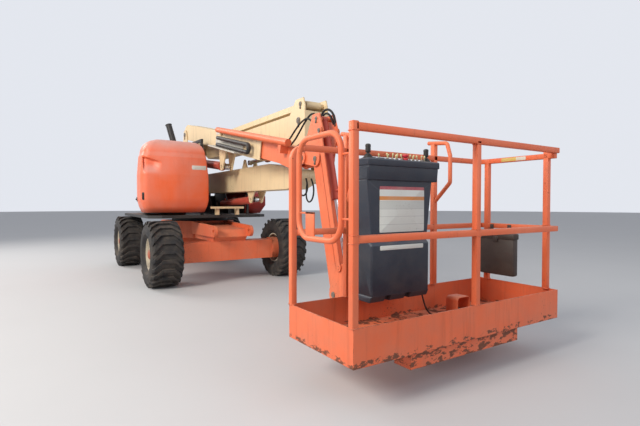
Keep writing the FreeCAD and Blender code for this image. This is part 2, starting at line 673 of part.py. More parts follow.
def tower():
    y = s.tower_y
    half = s.tower_half
    front, z = s.tower_front, s.tower_base_z
    rear = front - s.tower_length
    wall = s.lower_wall
    lower = prism("lower", "XZ", y, half * 2, (
        (rear, z - 70), (rear + 140, z - s.lower_bottom), (front - 220, z - s.lower_bottom),
        (front, z - 70), (front, z + 70), (front - 230, z + 70 + 30),
        (front - 690, z + s.lower_top), (rear + 140, z + s.lower_top), (rear, z + 70)),
        bosses=((rear, z, 70), (front, z, 70)),
        holes=((rear, z, s.tower_pin), (front, z, s.tower_pin)))
    for low_x, high_x in ((rear + 150, front - 240),):
        pocket(lower, "XZ", y, (half - wall) * 2, (
            (low_x, z - s.lower_bottom + wall), (high_x, z - s.lower_bottom + wall),
            (high_x, z + 70), (front - 700, z + s.lower_top - wall),
            (low_x, z + s.lower_top - wall)))
    lugs = []
    for side in (-1, 1):
        lugs.append(prism("lug", "XZ", y + 78 * side, 16, (
            (s.tower_eye_x - 100, z - s.lower_bottom + 3), (s.tower_eye_x + 140, z - s.lower_bottom + 3),
            (s.tower_eye_x + 50, s.tower_eye_z), (s.tower_eye_x - 50, s.tower_eye_z)),
            bosses=((s.tower_eye_x, s.tower_eye_z, 50),),
            holes=((s.tower_eye_x, s.tower_eye_z, 22),)))
        lugs.append(prism("lug", "XZ", y + 78 * side, 16, (
            (s.upper_ram_x - 90, z + s.lower_top - 3), (s.upper_ram_x + 90, z + s.lower_top - 3),
            (s.upper_ram_x + 40, s.upper_ram_z), (s.upper_ram_x - 40, s.upper_ram_z)),
            bosses=((s.upper_ram_x, s.upper_ram_z, 40),),
            holes=((s.upper_ram_x, s.upper_ram_z, 20),)))
    node(fuse("lower_boom", [lower] + lugs), "lower_boom")

    mid_x = front + s.upright_set
    mid_z = z + s.upright_rise
    link_x = mid_x + s.link_set
    link_z = mid_z + s.link_rise
    plates = []
    for side in (-1, 1):
        middle = y + (half + s.side_gap + s.side_plate / 2) * side
        plates.append(prism("cheek", "XZ", middle, s.side_plate, (
            (front - 90, z), (front + 90, z), (mid_x + 130, z + 220), (link_x + 90, link_z - 30),
            (link_x + 60, link_z + 60), (mid_x - 60, link_z + 60), (s.upper_eye_x - 110, mid_z - 40),
            (s.upper_eye_x - 90, s.upper_eye_z - 30)),
            bosses=((front, z, 90),)))
    inside = half + s.side_gap
    face_plate = box("face_plate", (mid_x + 92, mid_x + 130), (y - inside - 1, y + inside + 1),
                     (z + 230, link_z - 80))
    pins = []
    for pin_x, pin_z, radius in ((front, z, s.tower_pin), (mid_x, mid_z, s.tower_pin),
                                 (link_x, link_z, 24), (s.upper_eye_x, s.upper_eye_z, 20)):
        pins.append(rod("pin", "Y", sized(radius) - s.running_gap, y - inside - 1, x=pin_x,
                        z=pin_z, length=inside * 2 + 2))
    node(fuse("front_upright", plates + [face_plate] + pins), "front_upright")

    mid_rear = mid_x - s.tower_length
    mid = prism("mid", "XZ", y, half * 2, (
        (mid_rear, mid_z - 70), (mid_rear + 200, mid_z - s.mid_bottom),
        (mid_x - 260, mid_z - s.mid_bottom), (mid_x, mid_z - 70), (mid_x, mid_z + 70),
        (mid_x - 120, mid_z + s.mid_top), (mid_rear + 120, mid_z + s.mid_top),
        (mid_rear, mid_z + 70)),
        bosses=((mid_rear, mid_z, 70), (mid_x, mid_z, 70)),
        holes=((mid_rear, mid_z, s.tower_pin), (mid_x, mid_z, s.tower_pin)))
    pocket(mid, "XZ", y, (half - wall) * 2, (
        (mid_rear + 210, mid_z - s.mid_bottom + wall), (mid_x - 270, mid_z - s.mid_bottom + wall),
        (mid_x - 270, mid_z + s.mid_top - wall), (mid_rear + 210, mid_z + s.mid_top - wall)))
    node(mid, "mid_boom")
    link_rear = link_x - s.tower_length
    link = prism("link", "XZ", y, half * 1.4, (
        (link_rear, link_z - s.link_half), (link_x, link_z - s.link_half),
        (link_x, link_z + s.link_half), (link_rear, link_z + s.link_half)),
        bosses=((link_rear, link_z, s.link_half + 6), (link_x, link_z, s.link_half + 6)),
        holes=((link_rear, link_z, 24), (link_x, link_z, 24)))
    node(link, "upper_link")
    rear_upright(mid_rear, mid_z, link_rear, link_z)


def rear_upright(mid_rear, mid_z, link_rear, link_z):
    """Cheeks for the mid boom and its link on one side, for the main boom on the other."""
    y = s.tower_y
    inside = s.tower_half + s.side_gap
    pin_x, pin_z = s.boom_pin_x, s.boom_pin_z
    pieces = []
    for side in (-1, 1):
        middle = y + (inside + s.side_plate / 2) * side
        pieces.append(prism("cheek", "XZ", middle, s.side_plate, (
            (mid_rear - 170, mid_z - 110), (mid_rear + 60, mid_z - 110), (mid_rear + 80, mid_z),
            (link_rear + 60, link_z), (link_rear + 40, link_z + 55), (link_rear - 60, link_z + 55),
            (mid_rear - 170, mid_z + 60)),
            bosses=((mid_rear, mid_z, 80),)))
    clevis = s.boom_half + s.side_gap
    for side in (-1, 1):
        middle = (clevis + s.side_plate / 2) * side
        pieces.append(prism("clevis", "XZ", middle, s.side_plate, (
            (pin_x - 80, pin_z), (mid_rear - 170, mid_z + 40), (mid_rear - 170, mid_z - 110),
            (s.lift_foot_x - 55, s.lift_foot_z), (s.lift_foot_x + 55, s.lift_foot_z),
            (pin_x + 150, mid_z + 60), (pin_x + 80, pin_z)),
            bosses=((pin_x, pin_z, 80), (s.lift_foot_x, s.lift_foot_z, 55))))
    pieces.append(box("bridge", (mid_rear - 165, mid_rear - 95),
                      (-clevis - 1, y - inside), (mid_z - 108, mid_z + 20)))
    pieces.append(rod("boom_pin", "Y", 32 - s.running_gap, -clevis - s.side_plate, x=pin_x,
                      z=pin_z, length=(clevis + s.side_plate) * 2))
    pieces.append(rod("lift_pin", "Y", 24 - s.running_gap, -clevis - s.side_plate,
                      x=s.lift_foot_x, z=s.lift_foot_z, length=(clevis + s.side_plate) * 2))
    for spot_x, spot_z, radius in ((mid_rear, mid_z, s.tower_pin), (link_rear, link_z, 24)):
        pieces.append(rod("pin", "Y", sized(radius) - s.running_gap, y - inside - 1, x=spot_x,
                          z=spot_z, length=inside * 2 + 2))
    node(fuse("rear_upright", pieces), "rear_upright")


def ram(label, start, end, y, barrel_radius, rod_bar, share, half_eye, stroke=0):
    """A ram from its foot pin to its rod's eye: a barrel node and a rod node.

    stroke is how far the rod still comes out of the barrel from the stowed pose.
    """
    across = sized(end[0]) - start[0]
    rise = sized(end[1]) - start[1]
    length = distance(across, rise)
    tilt = -slope(rise, across)
    barrel_end = length * share
    eye = sized(barrel_radius) * 0.8
    pin = sized(half_eye)
    foot = cut("foot", rod("eye", "Y", eye, -pin * 1.2, length=pin * 2.4),
               rod("bore", "Y", pin, -pin * 1.3, length=pin * 2.6))
    tube = turned("tube", "XZ", (
        (eye * 0.85, 0), (eye * 0.85, barrel_radius), (barrel_end - 60, barrel_radius),
        (barrel_end - 60, sized(barrel_radius) + 4), (barrel_end, sized(barrel_radius) + 4),
        (barrel_end, sized(rod_bar) + s.running_gap * 2),
        (eye + s.ram_wall - 8, sized(rod_bar) + s.running_gap * 2), (eye + s.ram_wall - 8, 0)))
    barrel = fuse("barrel", [foot, tube])
    node(barrel, label + "_barrel", None)
    place(barrel, start[0] - s.swing_to_middle, y, start[1], tilt)
    head_radius = eye * 0.9
    inner_end = barrel_end - s.rod_hold - stroke
    bar = turned("bar", "XZ", (
        (inner_end, 0), (inner_end, rod_bar), (length - head_radius * 0.8, rod_bar),
        (length - head_radius * 0.8, 0)))
    head = cut("head", rod("eye", "Y", head_radius, -pin * 1.2, x=length, length=pin * 2.4),
               rod("bore", "Y", pin, -pin * 1.3, x=length, length=pin * 2.6))
    piston = fuse("piston", [bar, head])
    node(piston, label + "_rod", None)
    place(piston, start[0] - s.swing_to_middle, y, start[1], tilt)


def rams():
    ram("tower_ram", (s.tower_ram_x, s.tower_ram_z), (s.tower_eye_x, s.tower_eye_z), s.tower_y,
        s.ram_radius, s.rod_radius, 0.86, 22, s.tower_stroke)
    ram("upper_ram", (s.upper_eye_x, s.upper_eye_z), (s.upper_ram_x, s.upper_ram_z), s.tower_y,
        s.ram_radius - 6, s.rod_radius, 0.62, 20, s.upper_stroke)
    lug = from_boom(s.lift_lug_x, s.boom_rise - s.boom_deep - s.lift_lug_drop)
    ram("lift_ram", (s.lift_foot_x, s.lift_foot_z), lug, 0, s.ram_radius + 6, s.rod_radius + 4,
        0.88, 24, s.lift_stroke)


# Main boom, fly boom and what they carry, in the boom's own frame

def boom():
    top = s.boom_rise + s.boom_deep
    bottom = s.boom_rise - s.boom_deep
    end = s.boom_length
    sleeve = prism("sleeve", "XZ", 0, s.boom_half * 2, (
        (-s.boom_back, bottom + 40), (40, bottom), (end, bottom), (end, top), (60, top),
        (-s.boom_back, top - 60)),
        holes=((0, 0, 32),))
    wall = s.boom_wall
    pocket(sleeve, "YZ", end / 2 + 60, end, (
        (-s.boom_half + wall, bottom + wall), (s.boom_half - wall, bottom + wall),
        (s.boom_half - wall, top - wall), (-s.boom_half + wall, top - wall)))
    lugs = []
    for side in (-1, 1):
        lugs.append(prism("lug", "XZ", 66 * side, 18, (
            (s.lift_lug_x - 150, bottom + 3), (s.lift_lug_x + 130, bottom + 3),
            (s.lift_lug_x + 55, bottom - s.lift_lug_drop), (s.lift_lug_x - 55, bottom - s.lift_lug_drop)),
            bosses=((s.lift_lug_x, bottom - s.lift_lug_drop, 55),),
            holes=((s.lift_lug_x, bottom - s.lift_lug_drop, 24),)))
    near = -s.boom_half
    bracket = box("bracket", (1660, 1700), (near - 24, near + 2), (top - 60, top + 20))
    pads = []
    gap = s.running_gap
    for side in (-1, 1):
        inner, outer = s.fly_half + gap, s.boom_half - wall + 1
        across = (inner, outer) if side > 0 else (-outer, -inner)
        pads.append(box("pad", (end - 150, end - 20), across, (s.boom_rise - 50, s.boom_rise + 50)))
        inner, outer = s.fly_deep + gap, s.boom_deep - wall + 1
        level = (s.boom_rise + inner, s.boom_rise + outer)
        if side < 0:
            level = (s.boom_rise - outer, s.boom_rise - inner)
        pads.append(box("pad", (end - 150, end - 20), (-55, 55), level))
    node(fuse("main_boom", [sleeve, bracket] + lugs + pads), "main_boom", "boom")

    tray_top = s.boom_rise + 10
    tray = prism("tray", "YZ", 1980, 960, (
        (near, tray_top), (near, tray_top - 110), (near - 120, tray_top - 110),
        (near - 120, tray_top - 92), (near - 12, tray_top - 92), (near - 12, tray_top)))
    node(tray, "hose_tray", "boom")
    chain = shaped("chain", bent_tube((
        (1720, near - 66, tray_top - 66.7), (2760, near - 66, tray_top - 66.7),
        (2760, near - 66, tray_top + 22), (1720, near - 66, tray_top + 22)), 25, 43))
    node(chain, "hose_chain", "boom")

    fly_half, fly_deep = s.fly_half, s.fly_deep
    low, high = s.boom_rise - fly_deep, s.boom_rise + fly_deep
    fly = prism("fly", "XZ", 0, fly_half * 2, (
        (500, low), (s.fly_length, low), (s.fly_length, high), (500, high)))
    pocket(fly, "YZ", s.fly_length / 2 + 500, s.fly_length + 100, (
        (-fly_half + 7, low + 7), (fly_half - 7, low + 7), (fly_half - 7, high - 7),
        (-fly_half + 7, high - 7)))
    cheeks = []
    for side in (-1, 1):
        cheeks.append(prism("cheek", "XZ", (fly_half + 6) * side, 14, (
            (s.fly_length - 220, low), (s.fly_length, low - 20), (s.head_pin_x, s.head_pin_z - 60),
            (s.head_pin_x, s.head_pin_z + 60), (s.fly_length - 60, high), (s.fly_length - 220, high)),
            bosses=((s.head_pin_x, s.head_pin_z, 60),),
            holes=((s.head_pin_x, s.head_pin_z, 26),)))
    node(fuse("fly_boom", [fly] + cheeks), "fly_boom", "boom")
    tube_y = near - 66
    tube_z = s.boom_rise + 135
    tube = fuse("push", [
        rod("push_tube", "X", 36, 1700, y=tube_y, z=tube_z, length=s.fly_length - 1640),
        box("push_foot", (s.fly_length - 130, s.fly_length - 70), (tube_y - 10, -fly_half - 13),
            (s.boom_rise + 20, tube_z))])
    node(tube, "push_tube", "boom")


def stub_pins(x, z, low, high):
    """The two short pins that carry the jib's links, one on each side."""
    radius = 16 - s.running_gap
    return [rod("stub", "Y", radius, low, x=x, z=z, length=high - low),
            rod("stub", "Y", radius, -high, x=x, z=z, length=high - low)]


# Level bracket at the fly's nose, jib and platform carrier

def jib():
    head = from_boom(s.head_pin_x, s.head_pin_z)
    pin_x, pin_z = s.jib_pin_x, s.jib_pin_z
    link_x, link_z = pin_x + s.jib_link_x, pin_z + s.jib_link_z
    ram_x, ram_z = pin_x + s.jib_ram_x, pin_z + s.jib_ram_z
    inside = s.fly_half - 6
    web = s.jib_half + s.side_gap
    block = prism("block", "XZ", 0, inside * 2, (
        (head[0] - 50, head[1] - 50), (head[0] + 60, head[1] - 60), (head[0] + 60, head[1] + 60),
        (head[0] - 50, head[1] + 50)),
        bosses=((head[0], head[1], 55),))
    plates = []
    for side in (-1, 1):
        middle = (web + s.side_plate / 2) * side
        plates.append(prism("plate", "XZ", middle, s.side_plate, (
            (head[0] + 40, head[1] - 60), (pin_x, pin_z - 70), (pin_x + 60, pin_z - 30),
            (link_x + 40, link_z), (ram_x + 50, ram_z + 45), (ram_x - 60, ram_z + 45),
            (head[0] + 40, head[1] + 130)),
            bosses=((pin_x, pin_z, 70), (link_x, link_z, 36))))
    pins = [rod("head_pin", "Y", 26 - s.running_gap, -s.fly_half - 13, x=head[0], z=head[1],
                length=(s.fly_half + 13) * 2)]
    for spot_x, spot_z, radius, reach in ((pin_x, pin_z, 24, web + 1),
                                          (ram_x, ram_z, 18, web + 1)):
        pins.append(rod("pin", "Y", sized(radius) - s.running_gap, -reach, x=spot_x, z=spot_z,
                        length=reach * 2))
    arm_y = web + s.side_plate
    pins += stub_pins(link_x, link_z, web, arm_y + 17)
    node(fuse("level_bracket", [block] + plates + pins), "level_bracket")

    length = s.jib_length
    deep = s.jib_deep
    body = prism("jib", "XZ", 0, s.jib_half * 2, (
        (0, -deep), (length, -deep), (length, deep), (0, deep)),
        bosses=((0, 0, deep), (length, 0, deep)),
        holes=((0, 0, 24), (length, 0, 24)))
    pocket(body, "XZ", 0, (s.jib_half - s.jib_wall) * 2, (
        (80, -deep + s.jib_wall), (length - 80, -deep + s.jib_wall),
        (length - 80, deep - s.jib_wall), (80, deep - s.jib_wall)))
    eyes = []
    for side in (-1, 1):
        eyes.append(prism("eye", "XZ", 40 * side, 12, (
            (s.jib_eye_along - 70, deep - 3), (s.jib_eye_along + 70, deep - 3),
            (s.jib_eye_along + 26, s.jib_eye_rise), (s.jib_eye_along - 26, s.jib_eye_rise)),
            bosses=((s.jib_eye_along, s.jib_eye_rise, 26),),
            holes=((s.jib_eye_along, s.jib_eye_rise, 16),)))
    node(fuse("jib_boom", [body] + eyes), "jib_boom", "jib")

    bars = []
    for side in (-1, 1):
        bars.append(prism("bar", "XZ", (arm_y + s.side_gap + 5) * side, 10, (
            (0, -28), (length, -28), (length, 28), (0, 28)),
            bosses=((0, 0, 34), (length, 0, 34)),
            holes=((0, 0, 16), (length, 0, 16))))
    links = group("links", bars)
    node(links, "jib_link", None)
    place(links, link_x - s.swing_to_middle, 0, link_z, s.jib_angle)

    ram("jib_ram", (ram_x, ram_z), from_jib(s.jib_eye_along, s.jib_eye_rise), 0,
        s.jib_ram_radius, 19, 0.54, 18)

    foot = from_jib(length, 0)
    foot_link = (foot[0] + s.jib_link_x, foot[1] + s.jib_link_z)
    cheeks = []
    for side in (-1, 1):
        middle = (web + s.side_plate / 2) * side
        cheeks.append(prism("cheek", "XZ", middle, s.side_plate, (
            (foot[0] - 40, foot[1] - 60), (s.rotator_x - 60, foot[1] - 60),
            (s.rotator_x - 60, foot_link[1] + 30), (foot_link[0] - 20, foot_link[1] + 36),
            (foot[0] - 60, foot[1] + 40)),
            bosses=((foot[0], foot[1], 62), (foot_link[0], foot_link[1], 36))))
    pins = [rod("pin", "Y", 24 - s.running_gap, -web - 1, x=foot[0], z=foot[1],
                length=web * 2 + 2)] + stub_pins(foot_link[0], foot_link[1], web, arm_y + 17)
    housing = rod("housing", "Z", s.rotator_radius, foot[1] - 60, x=s.rotator_x,
                  length=s.jib_link_z + 90)
    saddle = box("saddle", (s.rotator_x - 110, s.rotator_x), (-web - 1, web + 1),
                 (foot[1] - 60, foot_link[1] + 30))
    bore = rod("bore", "Z", 46, foot[1] - 61, x=s.rotator_x, length=s.jib_link_z + 92)
    carrier = cut("carrier", fuse("carrier_solid", cheeks + pins + [housing, saddle]), bore)
    node(carrier, "platform_carrier")
    low = foot[1] - 60
    high = foot_link[1] + 30
    column = rod("column", "Z", 46 - s.running_gap, low - 30, x=s.rotator_x,
                 length=high - low + 60)
    arms = []
    for bottom_z, top_z in ((low - 30, low - s.pin_gap * 2), (high + s.pin_gap * 2, high + 30)):
        arms.append(box("arm", (s.rotator_x - 60, s.platform_back - 30), (-80, 80),
                        (bottom_z, top_z)))
    plate = box("mount_plate", (s.platform_back - 31, s.platform_back - 10), (-240, 240),
                (low - 30, high + 120))
    node(fuse("rotator", [column, plate] + arms), "rotator_bracket")


# Platform: floor with toe boards, rails, gate, console and small fittings

def platform():
    front, back = s.platform_front, s.platform_back
    half, floor_z = s.platform_half, s.floor_z
    radius = s.rail_radius
    face = front - radius + s.toe_thick / 2
    tray = cut("tray", box("floor_box", (back, face), (-half, half), (floor_z, floor_z + s.toe_height)),
               box("floor_well", (back + s.toe_thick, face - s.toe_thick),
                   (-half + s.toe_thick, half - s.toe_thick),
                   (floor_z + 14, floor_z + s.toe_height + 2)))
    beams = [box("sub_beam", (face - 160, face - 30), (-500, 480), (floor_z - 95, floor_z + 2)),
             box("sub_beam", (back, back + 120), (-240, 240), (floor_z - 60, floor_z + 2)),
             box("back_pad", (back - 10, back + 2), (-240, 240), (floor_z - 60, floor_z + 195))]
    node(fuse("floor", [tray] + beams), "platform_floor")

    low = floor_z + s.toe_height
    inset = radius + 1
    x_front, x_back = front - radius, back + radius
    y_far = half - inset
    top = s.top_rail_z
    loops = [bent_tube(((x_front, -y_far, low), (x_front, -y_far, top), (x_front, y_far, top),
                        (x_front, y_far, low)), radius, s.rail_bend),
             bent_tube(((x_back, -y_far, low), (x_back, -y_far, top - 60), (x_back, y_far, top - 60),
                        (x_back, y_far, low)), radius, s.rail_bend)]
    post = float(radius) * 0.9
    for x, y, high in ((x_front, 0, top), (x_back, s.post_right, top - 60),
                       (x_back, s.post_left, top - 60)):
        loops.append(Part.makeCylinder(post, float(high) - float(low),
                                       V(float(x), float(y), float(low))))
    bar_x = float(x_back) + post - 4
    console_back = float(s.console_x) - 130
    loops.append(Part.makeBox(console_back - bar_x, float(s.post_left) - float(s.post_right), 40,
                              V(bar_x, float(s.post_right), 1210)))
    gate_y = -y_far + 4
    ear_x = float(s.gate_hinge_x) + 17 + float(s.running_gap)
    for z in (float(s.mid_rail_z) + 90, float(top) - 140):
        loops.append(Part.makeBox(float(x_front) - ear_x, 16, 12, V(ear_x, float(gate_y) - 8, z)))
    rail_y = float(y_far)
    mid_z = float(s.mid_rail_z)
    for x in (float(x_front), float(x_back)):
        loops.append(Part.makeCylinder(float(radius) * 0.9, rail_y * 2, V(x, -rail_y, mid_z), V(0, 1, 0)))
    side_length = float(x_front) - float(x_back)
    for z in (mid_z, float(top) - 95):
        loops.append(Part.makeCylinder(float(radius) * 0.9, side_length, V(float(x_back), rail_y, z),
                                       V(1, 0, 0)))
    cage = loops[0].multiFuse(loops[1:])
    node(shaped("rails", cage), "platform_rails")

    gate_x = s.gate_hinge_x
    far_x = gate_x - s.gate_length
    low_z, high_z = s.mid_rail_z - 30, s.top_rail_z - 20
    loop = bent_tube(((gate_x, gate_y, low_z), (gate_x, gate_y, high_z), (far_x, gate_y, high_z - 10),
                      (far_x, gate_y, low_z), (gate_x, gate_y, low_z)), 17, 75)
    strap = Part.makeBox(8, 30, 170, V(float(far_x) + 120, float(gate_y) - 15, float(low_z) + 4))
    node(shaped("gate", loop.fuse(strap)), "gate")

    x, y = s.console_x, s.console_y
    body = fuse("console_body", [
        prism("lid", "XZ", y, 760, ((x - 130, 1200), (x + 130, 1200), (x + 110, 1330),
                                    (x - 130, 1385))),
        prism("face", "YZ", x - 10, 170, ((y - 370, 1203), (y + 360, 1203), (y + 270, 785),
                                         (y - 340, 785))),
        box("foot", (x - 90, x + 60), (y - 310, y + 255), (410, 788))])
    node(body, "control_console")


def build():
    chassis()
    axles()
    wheels()
    turntable()
    covers()
    tower()
    rams()
    boom()
    jib()
    platform()


def write_parts():
    """Recompute, test every object and every solid, and write one file for each node."""
    doc.recompute()
    for thing in doc.Objects:
        if "Invalid" in thing.State or "Error" in thing.State:
            raise RuntimeError("%s did not build: %s" % (thing.Name, thing.State))
    os.makedirs("parts", exist_ok=True)
    for thing in NODES:
        shape = thing.Shape
        if shape.isNull() or not shape.isValid() or not shape.Solids:
            raise RuntimeError("%s is not a valid solid" % thing.Label)
        shape.exportStep("parts/%s.step" % thing.Label)
        print("%-22s solids %d volume %.4f m3" % (thing.Label, len(shape.Solids),
                                                  shape.Volume / 1e9))


build()
write_parts()
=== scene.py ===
"""Looks of an articulating boom lift: finishes, covers, rails, fittings, hoses and stage."""
import json
import math

import bpy
import numpy as np
from bpy.props import FloatProperty, FloatVectorProperty, PointerProperty
from mathutils import Matrix, Vector

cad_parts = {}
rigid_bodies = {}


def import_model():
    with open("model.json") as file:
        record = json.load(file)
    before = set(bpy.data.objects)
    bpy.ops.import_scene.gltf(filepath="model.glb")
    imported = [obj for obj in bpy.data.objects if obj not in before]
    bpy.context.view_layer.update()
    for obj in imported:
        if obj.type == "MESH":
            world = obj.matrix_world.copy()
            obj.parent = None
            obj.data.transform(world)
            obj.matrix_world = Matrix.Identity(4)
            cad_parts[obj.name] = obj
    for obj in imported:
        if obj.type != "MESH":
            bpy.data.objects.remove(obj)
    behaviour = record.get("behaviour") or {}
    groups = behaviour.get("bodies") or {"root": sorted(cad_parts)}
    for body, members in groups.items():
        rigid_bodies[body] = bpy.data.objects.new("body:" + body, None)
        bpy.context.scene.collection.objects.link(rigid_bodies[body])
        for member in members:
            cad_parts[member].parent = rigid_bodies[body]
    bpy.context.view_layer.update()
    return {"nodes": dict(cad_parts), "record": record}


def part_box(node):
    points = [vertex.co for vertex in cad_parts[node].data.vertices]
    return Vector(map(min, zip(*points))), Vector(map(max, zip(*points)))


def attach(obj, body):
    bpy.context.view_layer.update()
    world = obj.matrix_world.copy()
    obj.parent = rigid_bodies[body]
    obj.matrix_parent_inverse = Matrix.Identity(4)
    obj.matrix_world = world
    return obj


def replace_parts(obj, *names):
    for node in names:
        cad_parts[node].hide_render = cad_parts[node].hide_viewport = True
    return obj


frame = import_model()

bl_info = {
    "name": "Boom lift looks",
    "version": (1, 0, 0),
    "blender": (4, 5, 0),
    "location": "3D View > Sidebar > Boom lift",
    "description": "Paint, covers, rails, small fittings, hoses and a studio for a boom lift",
    "category": "Object",
}

JOINTS = {joint["name"]: joint for joint in frame["record"]["behaviour"]["joints"]}


def paint_prop(name, about, colour):
    """A colour that the user can change."""
    return FloatVectorProperty(name=name, description=about, subtype="COLOR", size=3,
                               min=0.0, max=1.0, default=colour)


class LiftColours(bpy.types.PropertyGroup):
    """Colours of the machine's finishes, as linear values."""
    orange: paint_prop("Orange", "Faded orange of the chassis, jib and platform",
                       (0.740, 0.135, 0.048))
    hood: paint_prop("Hood", "Sun-faded orange of the engine cover", (0.880, 0.135, 0.034))
    # The pale pink that the engine cover fades towards: faded paint, and partly a painted sky
    # reflection on its top
    hood_pale: paint_prop("Hood, faded", "Chalky pink of the engine cover's top",
                          (0.720, 0.330, 0.270))
    # The far cover's colour: the orange made slightly redder, and darkened as painted shade
    red: paint_prop("Red cover", "Darker red of the far cover", (0.330, 0.030, 0.022))
    cream: paint_prop("Cream", "Cream of the booms", (0.720, 0.560, 0.340))
    black: paint_prop("Black", "Oily black of the working parts", (0.020, 0.020, 0.021))
    ram: paint_prop("Ram", "Red of the ram barrels", (0.450, 0.070, 0.045))
    grey: paint_prop("Grey", "Light grey of the hose tray", (0.500, 0.480, 0.430))
    console: paint_prop("Console", "Blue-black plastic of the control box",
                        (0.020, 0.027, 0.042))
    rubber: paint_prop("Rubber", "Dusty tyre rubber", (0.019, 0.019, 0.021))
    rim: paint_prop("Rims", "Cream of the wheel discs", (0.560, 0.500, 0.390))
    dust: paint_prop("Dust", "Pale road dust", (0.250, 0.205, 0.165))
    rust: paint_prop("Rust", "Bare rusty edges", (0.090, 0.035, 0.018))
    floor: paint_prop("Floor", "Studio floor and backdrop", (0.560, 0.565, 0.580))


class LiftSizes(bpy.types.PropertyGroup):
    """Width of the edge wear and the camera's lens."""
    edge: FloatProperty(name="Edge wear", description="Width of the worn edges",
                        default=0.006, unit="LENGTH", min=0.0)
    lens: FloatProperty(name="Lens", description="Camera lens for a 36 mm wide sensor",
                        default=24.52, min=1.0, subtype="DISTANCE_CAMERA")


# Node trees: every shared effect is one group with named inputs and outputs

def put(tree, kind, values=None, **settings):
    """Add a node, set its properties, and set or wire its inputs."""
    made = tree.nodes.new(kind)
    for key, value in settings.items():
        setattr(made, key, value)
    for key, value in (values or {}).items():
        socket = made.inputs[key]
        if isinstance(value, bpy.types.NodeSocket):
            tree.links.new(value, socket)
        else:
            socket.default_value = value
    return made


def calc(tree, operation, a, b=0.0, clamp=False):
    """One sum on one or two values."""
    return put(tree, "ShaderNodeMath", {0: a, 1: b}, operation=operation,
               use_clamp=clamp).outputs[0]


def remap(tree, value, low, high, to_low=0.0, to_high=1.0):
    """A value stretched smoothly from one range into another."""
    return put(tree, "ShaderNodeMapRange", {"Value": value, "From Min": low, "From Max": high,
                                            "To Min": to_low, "To Max": to_high},
               interpolation_type="SMOOTHSTEP").outputs["Result"]


def blend_colour(tree, mask, below, above):
    """The colour above laid over the colour below where the mask is one."""
    return put(tree, "ShaderNodeMix", {0: mask, 6: below, 7: above}, data_type="RGBA").outputs[2]


def noise(tree, vector, scale, detail, roughness):
    """Cloudy noise between zero and one."""
    return put(tree, "ShaderNodeTexNoise", {"Vector": vector, "Scale": scale, "Detail": detail,
                                            "Roughness": roughness}).outputs["Fac"]


def new_group(name, inputs, output="Mask"):
    """An empty group with float inputs (name, default) and one float output."""
    tree = bpy.data.node_groups.new(name, "ShaderNodeTree")
    for label, default in inputs:
        socket = tree.interface.new_socket(label, in_out="INPUT", socket_type="NodeSocketFloat")
        socket.default_value = default
    tree.interface.new_socket(output, in_out="OUTPUT", socket_type="NodeSocketFloat")
    return tree, put(tree, "NodeGroupInput").outputs


def sealed(tree, value):
    """The group, its output wired to a value."""
    put(tree, "NodeGroupOutput", {0: value})
    return tree


def own_place(tree):
    """The shaded point in its object's own coordinates."""
    return put(tree, "ShaderNodeTexCoord").outputs["Object"]


def height_of(tree, vector):
    """The Z part of a vector."""
    return put(tree, "ShaderNodeSeparateXYZ", {0: vector}).outputs["Z"]


def facing_up(tree):
    """The Z part of the face's normal: one where the face looks straight up."""
    return height_of(tree, put(tree, "ShaderNodeNewGeometry").outputs["Normal"])


def drawn_out(tree, spot, scale):
    """Coordinates with their Z scaled, so that noise is drawn out or squeezed along it."""
    return put(tree, "ShaderNodeVectorMath", {0: spot, 1: (1.0, 1.0, scale)},
               operation="MULTIPLY").outputs[0]


def edge_group():
    """Edges: one where the bevelled normal leans away from the face, broken up by noise."""
    tree, given = new_group("Edge wear", (("Radius", bpy.context.scene.lift_sizes.edge),
                                          ("Amount", 0.5), ("Scale", 18.0)))
    bevel = put(tree, "ShaderNodeBevel", {"Radius": given["Radius"]}, samples=6)
    face = put(tree, "ShaderNodeNewGeometry")
    close = put(tree, "ShaderNodeVectorMath", {0: bevel.outputs[0], 1: face.outputs["Normal"]},
                operation="DOT_PRODUCT").outputs["Value"]
    lean = calc(tree, "SUBTRACT", 1.0, close)
    rough = noise(tree, own_place(tree), given["Scale"], 6.0, 0.7)
    broken = calc(tree, "MULTIPLY", lean, remap(tree, rough, 0.42, 0.62))
    mask = remap(tree, broken, 0.04, 0.16)
    return sealed(tree, calc(tree, "MULTIPLY", mask, given["Amount"], True))


def dust_group():
    """Dust: thickest on faces that look up and near the ground, made patchy by broad noise."""
    tree, given = new_group("Dust", (("Amount", 0.5), ("Scale", 5.0), ("Ground", 0.3)))
    spot = own_place(tree)
    low = calc(tree, "MULTIPLY", remap(tree, height_of(tree, spot), 1.1, 0.1), given["Ground"])
    lying = calc(tree, "MULTIPLY", remap(tree, facing_up(tree), 0.2, 1.0), 0.75)
    share = calc(tree, "ADD", calc(tree, "ADD", low, lying), 0.12)
    patch = remap(tree, noise(tree, spot, given["Scale"], 6.0, 0.65), 0.3, 0.72)
    both = calc(tree, "MULTIPLY", share, patch)
    return sealed(tree, calc(tree, "MULTIPLY", both, given["Amount"], True))


def fade_group():
    """Fading: slow cloudy change over the piece, stronger on faces that look up; on the engine
    cover the paler tops also stand as a painted sky reflection.
    """
    tree, given = new_group("Fading", (("Scale", 1.6), ("Upward", 0.5), ("Cloud", 0.45)))
    cloud = remap(tree, noise(tree, own_place(tree), given["Scale"], 5.0, 0.6), 0.3, 0.75)
    top = calc(tree, "MULTIPLY", remap(tree, facing_up(tree), -0.1, 0.95), given["Upward"])
    clouded = calc(tree, "MULTIPLY", cloud, given["Cloud"])
    return sealed(tree, calc(tree, "ADD", clouded, top, True))


